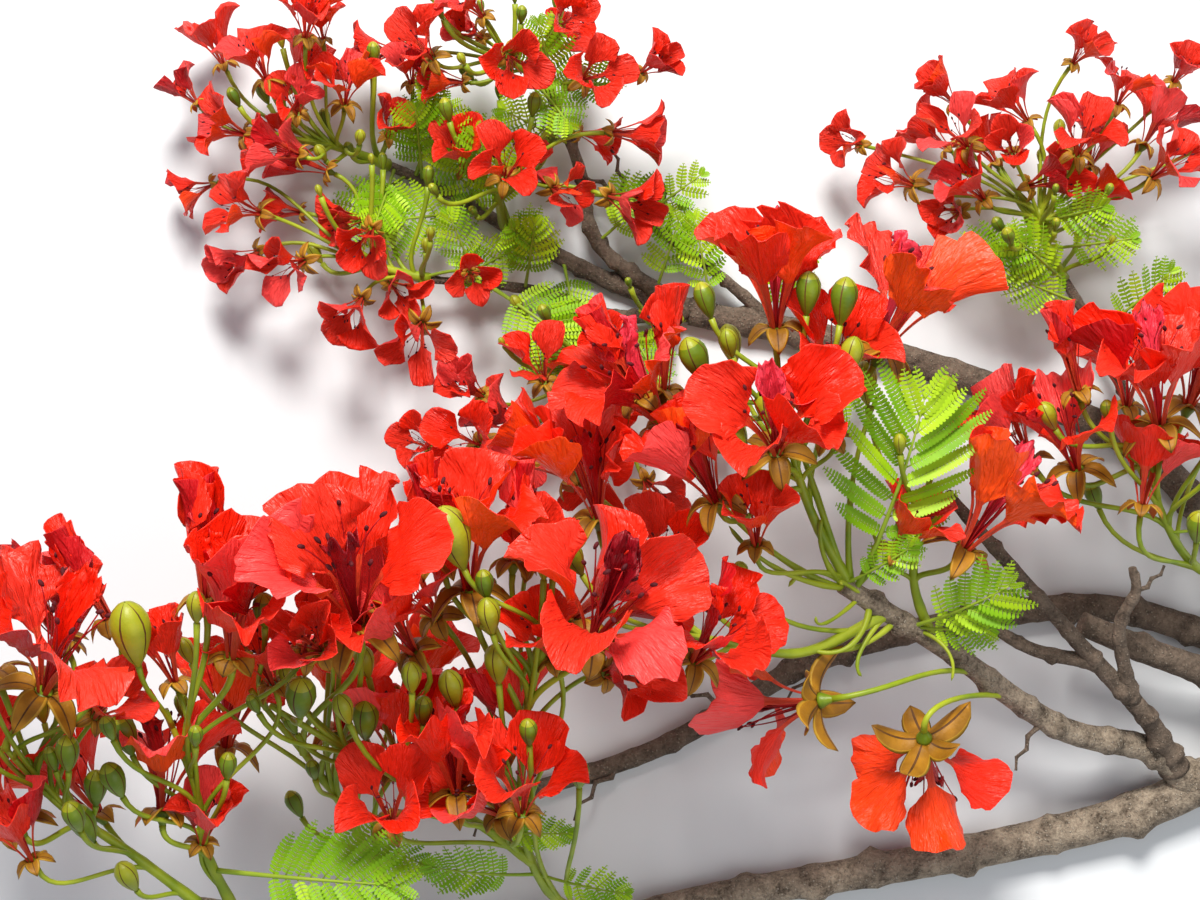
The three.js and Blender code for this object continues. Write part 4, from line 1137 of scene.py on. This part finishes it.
def corners_of(node):
    """The corners of a node of the frame, in millimetres."""
    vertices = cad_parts[node].data.vertices
    flat = np.empty(len(vertices) * 3)
    vertices.foreach_get("co", flat)
    return flat.reshape(-1, 3) / MM


def petal_shares(rows):
    """The shares of a petal where its rows stand. They are close at its broad end, where its margin turns."""
    turned = rows * 2 // 5
    sweep = np.linspace(0, 0.97, turned) * math.pi / 2
    end = WIDEST + (1 - WIDEST) * np.sin(sweep) ** (2 / END_POWER)
    return np.concatenate([np.linspace(0, WIDEST, rows - turned, endpoint=False), end])


def petal_grid(bloom, azimuth, leans, length, twist, seed, rows, columns):
    """A spoon-shaped petal: a slender channelled claw, and a broad blade with a ruffled, wrinkled margin.
    With each spot comes its place on the petal's fan."""
    draw = np.random.default_rng(seed)
    shares = petal_shares(rows)
    centre, across, through = bloom.blade(azimuth, leans, length, twist, shares)
    side = np.sin(np.linspace(-1, 1, columns) * math.pi / 2)[None]
    s = shares[:, None]
    full = PETAL_HALF * draw.uniform(*PETAL_BREADTHS)
    claw = mix(*CLAW_HALVES, np.clip(s / 0.35, 0, 1))
    shoulder = claw + (full - claw) * smooth((s - CLAW_END) / (SHOULDER - CLAW_END))
    round_end = full * np.sqrt(np.clip(1 - (np.maximum(s - WIDEST, 0) / (1 - WIDEST)) ** END_POWER, 0, 1))
    half = np.where(s < WIDEST, shoulder, round_end)
    rim = np.arctan2(side * half, (s - 0.6) * length)
    uneven = 1 + 0.05 * np.sin(rim * 5 + draw.uniform(0, 6)) + 0.045 * np.sin(rim * 13 + draw.uniform(0, 6))
    x = side * half * uneven
    angle = np.arctan2(x, np.maximum(s - 0.1, 0.12) * length)
    fan = np.stack(np.broadcast_arrays(angle * 26 + seed % 83, s * 5), axis=-1)
    blade = smooth((s - 0.33) / 0.3)
    height = 0.5 * (1 - blade) * side ** 2 * claw
    x, height = crumpled(bloom, x, height, x / full, s, side, rim, blade, creases(fan, seed), draw)
    offset = across[:, None] * x[..., None] + through[:, None] * height[..., None]
    return centre[:, None] + offset * bloom.size, fan


def creases(fan, seed):
    """Wrinkles that run out along a petal's fan, from broad to fine."""
    spots = np.concatenate([fan * (0.4, 0.8), np.full((*fan.shape[:2], 1), seed % 97)], axis=-1)
    return sum(amount * grain(spots * (across, along, 1), 1, salt) for amount, across, along, salt in CREASES)


def crumpled(bloom, x, height, wide, s, side, rim, blade, crease, draw):
    """A petal's breadth and height after it is cupped, folded, recurved, ruffled, wrinkled and rolled up."""
    edge = np.maximum(np.abs(side) ** 3 * blade, smooth((s - 0.74) / 0.26) ** 1.5)
    ruffle = sum(amount * np.sin(rim * waves + draw.uniform(0, 6)) for waves, amount in RUFFLES
                 if waves < len(s) * FINEST_RUFFLE)
    height += blade * draw.uniform(*CUPS) * wide ** 2
    height += blade * draw.uniform(*FOLDS) * np.abs(x)
    height -= draw.uniform(*RECURVES) * np.clip(s - 0.55, 0, 1) ** 2
    height -= blade * KEEL * np.exp(-(x / 1.8) ** 2)
    height += edge * ruffle * draw.uniform(*RUFFLE_DEPTHS) * (CALM_RUFFLE if bloom.hangs else 1)
    height += blade * crease * draw.uniform(*CREASE_DEPTHS)
    rolled = draw.choice((-1, 0, 1), p=(0.35, 0.3, 0.35))
    height += blade * np.clip(wide * rolled - 0.3, 0, 1) ** 2 * draw.uniform(*ROLL_DEPTHS)
    curl = draw.uniform(*(ROLLED_CURLS if draw.random() < FURLED_SHARE else OPEN_CURLS))
    if bloom.furled:
        curl = FURLED_CURL
        height *= 0.5
    bent = blade * curl * wide
    height += x * bent / 2 * np.sinc(bent / math.tau) ** 2
    return x * np.sinc(bent / math.pi), height


def standard_grid(bloom, azimuth, leans, length, seed):
    """The standard petal: rolled round towards the bloom's axis, with a torn and crumpled tip."""
    draw = np.random.default_rng(seed)
    rows, columns = STANDARD_GRID
    shares = np.linspace(0, 1, rows)
    centre, across, through = bloom.blade(azimuth, leans, length, 0, shares)
    ahead = unit(np.gradient(centre, axis=0))
    side = np.linspace(-1, 1, columns)[None]
    s = shares[:, None]
    broad = draw.uniform(*STANDARD_HALVES)
    half = mix(1.8, broad, smooth((s - 0.15) / 0.5)) * mix(1, 0.8, smooth((s - 0.75) / 0.25))
    rolled = draw.uniform(*STANDARD_CURLS)
    curl = mix(1.0, rolled, smooth(s / 0.45)) * mix(1, 0.45, smooth((s - 0.6) / 0.4))
    fan = np.stack(np.broadcast_arrays(side * 3.4, s * 8, s * 0 + seed % 89), axis=-1)
    crumple = grain(fan, 1, 2) + 0.8 * grain(fan * 2.3, 1, 6)
    tip = smooth((s - 0.55) / 0.45)
    depth = half / curl * (1 + 0.12 * crumple)
    x = depth * np.sin(curl * side)
    height = depth * (1 - np.cos(curl * side)) + crumple * (0.3 + 2.0 * tip)
    height = height + 2.2 * tip * np.sin(side * 9 + seed)
    torn = tip ** 2 * (4 + 4 * grain(fan * (1.6, 0, 1), 1, 9) + 7 * side ** 2)
    offset = across[:, None] * x[..., None] + through[:, None] * height[..., None]
    grid = centre[:, None] - ahead[:, None] * (torn * bloom.size)[..., None] + offset * bloom.size
    return grid, fan[..., :2] * (2, 0.6)


def add_petals(mass, bloom, petals):
    """The petals of a bloom, in the tints that a royal poinciana's petals have."""
    aged = bloom.furled or chance(bloom.seed + SALT["aged"]) < AGED
    rows, columns = TINY_GRID if bloom.size < TINY else SMALL_GRID if bloom.small else PETAL_GRID
    claw_rows = int(rows * CLAW_SHARE)
    claw = ["petal_claw"] * (claw_rows * (columns - 1))
    blade = (rows - 1 - claw_rows) * (columns - 1)
    for order, azimuth, leans, length, twist in petals:
        seed = int(bloom.seed * 31 + order)
        if order == 0 and not bloom.small:
            grid, fan = standard_grid(bloom, azimuth, leans, length, seed)
            front = deal(STANDARDS, bloom.seed + SALT["standard"])
            back = "petal_scarlet" if front == "petal_crimson" else front
        else:
            grid, fan = petal_grid(bloom, azimuth, leans, length, twist, seed, rows, columns)
            front = claw + [deal(AGED_FRONTS if aged else FRONTS, seed + SALT["front"])] * blade
            back = claw + [deal(BACKS, seed + SALT["back"])] * blade
        mass.shell(grid, PETAL_THICKNESS, front, back, fan)


def add_calyx(mass, bloom, fold):
    """Five reflexed sepals on a small green cup: ochre without, with a dark middle line and a pale rim, and
    redder within. A bloom that hangs has broader ones, blunt and ochre on both sides."""
    t = np.linspace(0, 1, SMALL_SEPAL_ROWS if bloom.small else SEPAL_ROWS)
    columns = np.array((-1, -0.82, -0.45, -0.09, 0.09, 0.45, 0.82, 1))[None]
    outside = ["sepal_rim", *["sepal_outside"] * 2, "seam", *["sepal_outside"] * 2, "sepal_rim"]
    inside = outside if bloom.hangs else ["sepal_rim", *["sepal_inside"] * 5, "sepal_rim"]
    broad, blunt, reaches, falls = HANGING_SEPAL_FORM if bloom.hangs else SEPAL_FORM
    spoon = mix(0.6, 1, np.sin(math.pi * np.clip(t * 0.95, 0, 1)))
    half = (SEPAL_HALF * broad * spoon * np.sqrt(np.clip(1 - t ** blunt, 0.004, 1)))[:, None]
    for i in range(PETALS):
        draw = np.random.default_rng(int(bloom.seed * 53 + i))
        away = bloom.between(i)
        side = np.cross(bloom.axis, away)
        out = mix(2.6, SEPAL_REACH * fold * draw.uniform(*reaches), t)
        fall = SEPAL_FALL * fold * draw.uniform(*falls)
        height = -0.6 - fall * t ** 1.7 + 2.2 * np.sin(math.pi * t) * fold
        middle = bloom.calyx + (np.outer(out, away) + np.outer(height, bloom.axis)) * bloom.size
        lift = draw.uniform(1.2, 2.4) * broad * columns ** 2 * half / SEPAL_HALF
        offset = side * (columns * half)[..., None] + bloom.axis * lift[..., None]
        mass.shell(middle[:, None] + offset * bloom.size, SEPAL_THICKNESS, inside, outside)
    cup = np.array(CUP) * bloom.size
    sides = SMALL_CUP_SIDES if bloom.small else CUP_SIDES
    mass.tube(bloom.calyx + np.outer(cup[:, 0], bloom.axis), cup[:, 1], sides, "bud")


def add_stamens(mass, bloom):
    """Slender red filaments that curve up from the calyx, each with a dark anther: ten, or six on a small
    bloom."""
    count, longest, rows, sides = SMALL_STAMENS if bloom.small else STAMENS
    shares = np.linspace(0, 1, rows)
    body = np.linspace(-1, 1, 5)
    plump = (0.95 * np.sqrt(1 - (body * 0.94) ** 2) + 0.05) * bloom.size
    for i in range(count):
        draw = np.random.default_rng(int(bloom.seed * 71 + i))
        azimuth = bloom.spin + math.radians(60) + i * 2 * math.pi / count + draw.uniform(-0.3, 0.3)
        root_lean = draw.uniform(*STAMEN_ROOT_LEANS)
        tip_lean = draw.uniform(*STAMEN_TIP_LEANS) * mix(0.7, 1, bloom.open)
        length = longest * draw.uniform(*STAMEN_LENGTHS)
        line, _, through = bloom.blade(azimuth, (root_lean, tip_lean), length, 0, shares, ring=0.6)
        sway = draw.uniform(-4, 5) * bloom.size
        line = line + through * (np.sin(shares * 3) * sway)[:, None]
        mass.tube(line, np.linspace(*FILAMENT_RADII, rows) * bloom.size, sides, "filament")
        tilt = unit(unit(line[-1] - line[-2]) + draw.uniform(-0.6, 0.6, 3))
        mass.tube(line[-1] + np.outer(body * 1.7 * bloom.size, tilt), plump, 6, "anther")


# Stalks and buds

def stalk_root(stem, spot, seed, drop):
    """Where a stalk leaves its stem: a share of the stem before the nearest place to what it carries."""
    if drop is None:
        drop = mix(*STALK_DROP, chance(seed + SALT["drop"]))
    return max(0.05, stem.nearest(spot) - drop)


def stalk_line(stem, root, foot, axis, shares):
    """The line of a stalk, from its stem to the foot of its calyx or bud."""
    start = stem.at(root)
    reach = np.linalg.norm(foot - start)
    toward = foot - start + stem.toward(root) * reach
    return bezier(start, start + toward * 0.2, foot - axis * reach * 0.4, foot, shares)


def add_stalk(mass, stem, root, foot, axis, form, scale=1):
    """A stalk, a little swollen at both ends."""
    count, least, (root_swell, root_fade), (foot_swell, foot_fade) = form
    shares = np.linspace(0, 1, count)
    radii = least + root_swell * np.exp(-shares * root_fade) + foot_swell * np.exp((shares - 1) * foot_fade)
    mass.tube(stalk_line(stem, root, foot, axis, shares), radii * scale, THIN_SIDES, "stem")


def add_bloom_stalk(mass, bloom):
    """A bloom's stalk, which is thicker under a large bloom."""
    root = stalk_root(bloom.stem, bloom.calyx, bloom.seed, bloom.drop)
    foot = bloom.calyx - bloom.axis * (BLOOM_FOOT * bloom.size)
    add_stalk(mass, bloom.stem, root, foot, bloom.axis, BLOOM_STALK, 0.45 + 0.65 * bloom.size)


def add_bud(mass, stem, seed, middle, length, drop=None):
    """A pear-shaped bud on its stalk, with the dark seams of its sepals."""
    middle = np.array(middle, float)
    root = stalk_root(stem, middle, seed, drop)
    axis = unit(unit(middle - stem.at(root)) * 0.6 + (0, 0.7, 0.25))
    first, second = square_to(axis)
    around = np.concatenate([i * 2 * math.pi / PETALS + np.array((-0.055, 0.055, 0.25, 0.63, 1.0))
                             for i in range(PETALS)])
    groove = np.tile((0.985, 0.985, 1.0, 1.02, 1.0), PETALS)
    profile = np.array(BUD_PROFILE)
    radius = profile[:, 1, None] * length * BUD_SLIMNESS * groove
    height = (profile[:, 0] - 0.5) * length
    spots = (middle + np.outer(height, axis)[:, None] + radius[..., None]
             * (np.cos(around)[:, None] * first + np.sin(around)[:, None] * second))
    pale = chance(middle[0]) < PALE_BUDS
    names = []
    for share in profile[:-1, 0]:
        names += (["seam"] + ["bud_tip" if pale or share > BUD_TIP else "bud"] * 4) * PETALS
    mass.add(spots, grid_faces(len(profile), len(around), wrapped=True), names)
    add_stalk(mass, stem, root, middle - axis * length * BUD_FOOT, axis, BUD_STALK)


# Leaves

def add_leaf(mass, on, root, tip, faces, pinna, pairs, pale=SUNLIT_PINNAE):
    """A twice divided leaf: a bowed midrib, pairs of pinnae, and on each many pairs of small leaflets."""
    parent = lines[on]
    root = parent.at(parent.nearest(np.array(root, float)))
    tip = np.array(tip, float)
    face = unit(faces)
    reach = np.linalg.norm(tip - root)
    bow = (root + tip) / 2 + face * reach * BOW

    def rib(t):
        return root * (1 - t) ** 2 + bow * 2 * t * (1 - t) + tip * t * t

    points = [rib(t) for t in np.linspace(0, 1, MIDRIB_RINGS)]
    radii = np.linspace(0.6 + pinna * 0.025, PINNA_RADII[0], MIDRIB_RINGS)
    mass.tube(points, radii, MIDRIB_SIDES, "leaf_rib")
    rows = pairs * 2 - 1
    longest = min(reach * (1 - FIRST_PAIR) / (rows - 1) * LEAFLET_ROOM, LEAFLET)
    for pair in range(rows):
        row = pair / (rows - 1)
        share = mix(FIRST_PAIR, 1, row)
        heading = unit(rib(share) - rib(share - 0.02))
        start = rib(share) - heading * 0.7
        side = unit(np.cross(heading, face))
        lean = math.radians(mix(*PINNA_LEANS, row))
        for hand in (-1, 1):
            away = heading * math.cos(lean) + side * hand * math.sin(lean)
            seed = pair * 2 + hand + root[0]
            grown = mix(*PINNA_LENGTHS, chance(seed + SALT["grown"]))
            length = pinna * (1 - 0.45 * (2 * row - 0.8) ** 2) * grown
            bend = (heading * BEND - face * DROOP * (0.4 + 2 * chance(seed))) * length
            add_pinna(mass, start, away, bend, face, length, longest, seed, pale)


def add_pinna(mass, start, away, bend, face, length, longest, seed, pale):
    """One pinna: a thin drooping rib with opposite leaflets, none over the longest that there is room for.
    In so great a share of cases it has the pale tint, painted sunlight; otherwise the darker tint, painted
    shade."""
    across = unit(np.cross(away, face))
    through = np.cross(across, away)
    turn = (chance(seed + SALT["turn"]) - 0.5) * PINNA_TURN
    across, through = (across * math.cos(turn) + through * math.sin(turn),
                       through * math.cos(turn) - across * math.sin(turn))

    def spot(t):
        return start + away * length * t + bend * t * t

    points = [spot(t) for t in np.linspace(0, 1, PINNA_RINGS)]
    mass.tube(points, np.linspace(*PINNA_RADII, PINNA_RINGS), PINNA_SIDES, "leaf_rib")
    count = max(FEWEST_LEAFLETS, int(length / LEAFLET_GAP))
    blade = length * 0.17 + 0.9
    # Painted light: the pale tint stands for a sunlit pinna, the darker one for a shaded one.
    tint = "leaflet_pale" if chance(seed + length) < pale else "leaflet"
    for i in range(count):
        t = 0.08 + 0.92 * i / (count - 1)
        base = spot(t)
        ahead = unit(spot(t + 0.02) - base)
        reach = min(blade, longest) * (1 - 0.55 * abs(2 * t - 0.9) ** 3)
        rise = through * reach * 0.05
        for hand in (-1, 1):
            out = unit(across * hand + ahead * 0.3 + through * 0.18)
            wide = np.cross(through, out) * reach * 0.26
            end = base + out * reach
            shoulder = base + out * reach * 0.7
            spots = [base + wide * 0.7, shoulder + wide + rise, end + wide * 0.4,
                     end - wide * 0.4, shoulder - wide + rise, base - wide * 0.7]
            mass.add(np.array(spots), [(0, 1, 4, 5), (1, 2, 3, 4)], tint)


def add_small_leaf(mass, on, share, reach, pinna, pairs):
    """A small leaf that stands on a limb, written by its reach from there."""
    root = lines[on].at(share)
    add_leaf(mass, on, root, root + reach, SMALL_LEAF_FACES, pinna, pairs)


# Young growth

def scattered(draw, around, apart, made, taken):
    """The best of some tries at a spot and a heading: the one that stands furthest from the spots taken."""
    best, room = None, 0
    for _ in range(TRIES):
        tried = made(around[draw.integers(len(around))])
        step = unit(tried[1]) * apart
        middle = tried[0] + step
        free = min(np.linalg.norm(middle - other) for other in taken)
        if free > room and inside_reach(middle + step):
            best, room = tried, free
    return best


def inside_reach(spot):
    """Whether a spot lies within the frame's own box, give or take its margins."""
    low, high = (np.array(corner) / MM for corner in CAD_BOX)
    inward, outward = BOX_MARGINS
    return bool(np.all(spot > low + inward) and np.all(spot < high + outward))


def young_blooms(stem, blooms, count, draw):
    """Young blooms among a stem's own: smaller, less open, and where there is most room."""
    own = [bloom for _, on, bloom in blooms if on == stem]
    taken = [bloom.above(YOUNG_ROOM) for _, _, bloom in blooms]
    made = []

    def beside(bloom):
        at = bloom.calyx + draw.uniform(*YOUNG_PLACES) - bloom.axis * draw.uniform(*YOUNG_DEPTHS)
        at[2] = max(at[2], GROUND + YOUNG_HEIGHT)
        return at, bloom.axis + draw.uniform(-YOUNG_TILT, YOUNG_TILT, 3)

    for number in range(count):
        size = draw.uniform(*(YOUNG_SPRAY_SIZES if stem in SPRAYS else YOUNG_SIZES))
        best = scattered(draw, own, YOUNG_ROOM * size, beside, taken)
        if best:
            seed = YOUNG_SEED + len(taken) * 3 + number
            young = Bloom(seed, stem, *best, size, draw.uniform(*YOUNG_OPEN), draw.uniform(0, 360),
                          draw.uniform(*LONG_DROP), small=True)
            taken.append(young.above(YOUNG_ROOM))
            made.append(young)
    return made


def furled_blooms(stem):
    """The blooms on a stem whose petals are still rolled up."""
    return [Bloom(FURLED_SEED + order, *entry, open=0.1, drop=LONG_DROP[0], small=True, furled=True)
            for order, entry in enumerate(FURLED_BLOOMS) if entry[0] == stem]


def young_buds(stem, blooms, count, draw):
    """More buds of several sizes round the upper part of a stem."""
    line = lines[stem]
    taken = [bloom.above(BUD_ROOM) for bloom in blooms]
    made = []

    def outward(share):
        return line.at(share) + draw.uniform(-1, 1, 3) * BUD_SPREAD + BUD_LIFT, np.array(BUD_HEADING)

    for _ in range(count):
        length = draw.uniform(*(SPRAY_BUD_LENGTHS if stem in SPRAYS else BUD_LENGTHS))
        best = scattered(draw, draw.uniform(*BUD_SHARES, 12), length / 2, outward, taken)
        if best:
            at = best[0]
            at[2] = max(at[2], GROUND + BUD_HEIGHT)
            taken.append(at)
            made.append((at, length, draw.uniform(*LONG_DROP)))
    return made


# Building

def add_floor():
    """A plain pale floor on which the limb lies."""
    bpy.ops.mesh.primitive_plane_add(size=FLOOR_SIZE, location=FLOOR_PLACE)
    floor = bpy.context.object
    floor.name = "floor"
    finish = Finish("floor", 0.9)
    finish.set(Base_Color=FLOOR_TINT)
    floor.data.materials.append(finish.material)


def all_blooms():
    """Every bloom that the frame has, with the name of its node and of its stem."""
    for order, (name, entry) in enumerate(BLOOMS.items()):
        yield name, entry[0], Bloom(order + 1, *entry)
    for order, (name, spec) in enumerate(SPRAYS.items()):
        for number, entry in enumerate(spec["blooms"]):
            yield name, name, Bloom(SPRAY_SEED + order * 8 + number, name, *entry, small=True)


def add_bloom(pieces, kind, bloom, petals, fold):
    """A bloom's parts, each in the piece of its kind."""
    add_petals(pieces[kind], bloom, petals)
    add_calyx(pieces["calyxes"], bloom, fold)
    add_stamens(pieces["stamens"], bloom)
    add_bloom_stalk(pieces["stalks"], bloom)


def add_raceme(raceme, stems, blooms):
    """The blooms and buds of one raceme, with the parts of each kind in one piece."""
    pieces = {kind: Mass(*finishes) for kind, (_, *finishes) in BLOSSOM.items()}
    nodes = set()
    for node, stem, bloom in blooms:
        if stem in stems:
            nodes.add(node)
            corners = corners_of(node)
            petals = list(bloom.placed(corners))
            fold = 1 if bloom.small else bloom.fold(corners)
            if bloom.small:
                bloom.size *= SPRAY_SCALE
            add_bloom(pieces, "petals", bloom, petals, fold)
    for order, stem in enumerate(stems):
        draw = np.random.default_rng(len(stem) * 100 + order)
        bloom_count, bud_count = YOUNG.get(stem, (0, 0))
        young = young_blooms(stem, blooms, bloom_count, draw) + furled_blooms(stem)
        for bloom in young:
            petals = [(number, *petal[:4]) for number, petal in enumerate(bloom.petals())]
            add_bloom(pieces, "young_petals", bloom, petals, YOUNG_FOLD)
        near = [bloom for _, _, bloom in blooms] + young
        listed = STEMS.get(stem, {}).get("buds", [])
        for number, bud in enumerate(listed + young_buds(stem, near, bud_count, draw)):
            add_bud(pieces["buds"], lines[stem], number, *bud)
    for kind, mass in pieces.items():
        mass.make(f"{kind}_{raceme}", BLOSSOM[kind][0], *(sorted(nodes) if kind == "petals" else ()))


def gather(name, slot, finishes, add, entries, nodes=()):
    """A piece of many small things, each added from its entry in a table."""
    mass = Mass(*finishes)
    for entry in entries:
        add(mass, *entry)
    mass.make(name, slot, *nodes)


add_camera()
add_light()
add_floor()
FINISHES = make_finishes()
lines = {}
for order, (name, spec) in enumerate(LIMBS.items()):
    lines[name] = Line(**spec)
    limb_piece(name, lines[name], order)
for name, spec in (STEMS | SPRAYS).items():
    lines[name] = Line(**spec)
    stem_piece(name, lines[name])
blooms = list(all_blooms())
for raceme, stems in RACEMES.items():
    add_raceme(raceme, stems, blooms)
gather("leaves", "leaf", LEAF_FINISHES, add_leaf, LEAVES.values(), LEAVES)
gather("twiglets", "bark", ["twig_bark"], add_twiglet, [(i, *entry) for i, entry in enumerate(TWIGLETS)])
gather("shoots", "stem", ["stem"], add_shoot, [(i, *entry) for i, entry in enumerate(SHOOTS)])
gather("small_leaves", "leaf", LEAF_FINISHES, add_small_leaf, SMALL_LEAVES)
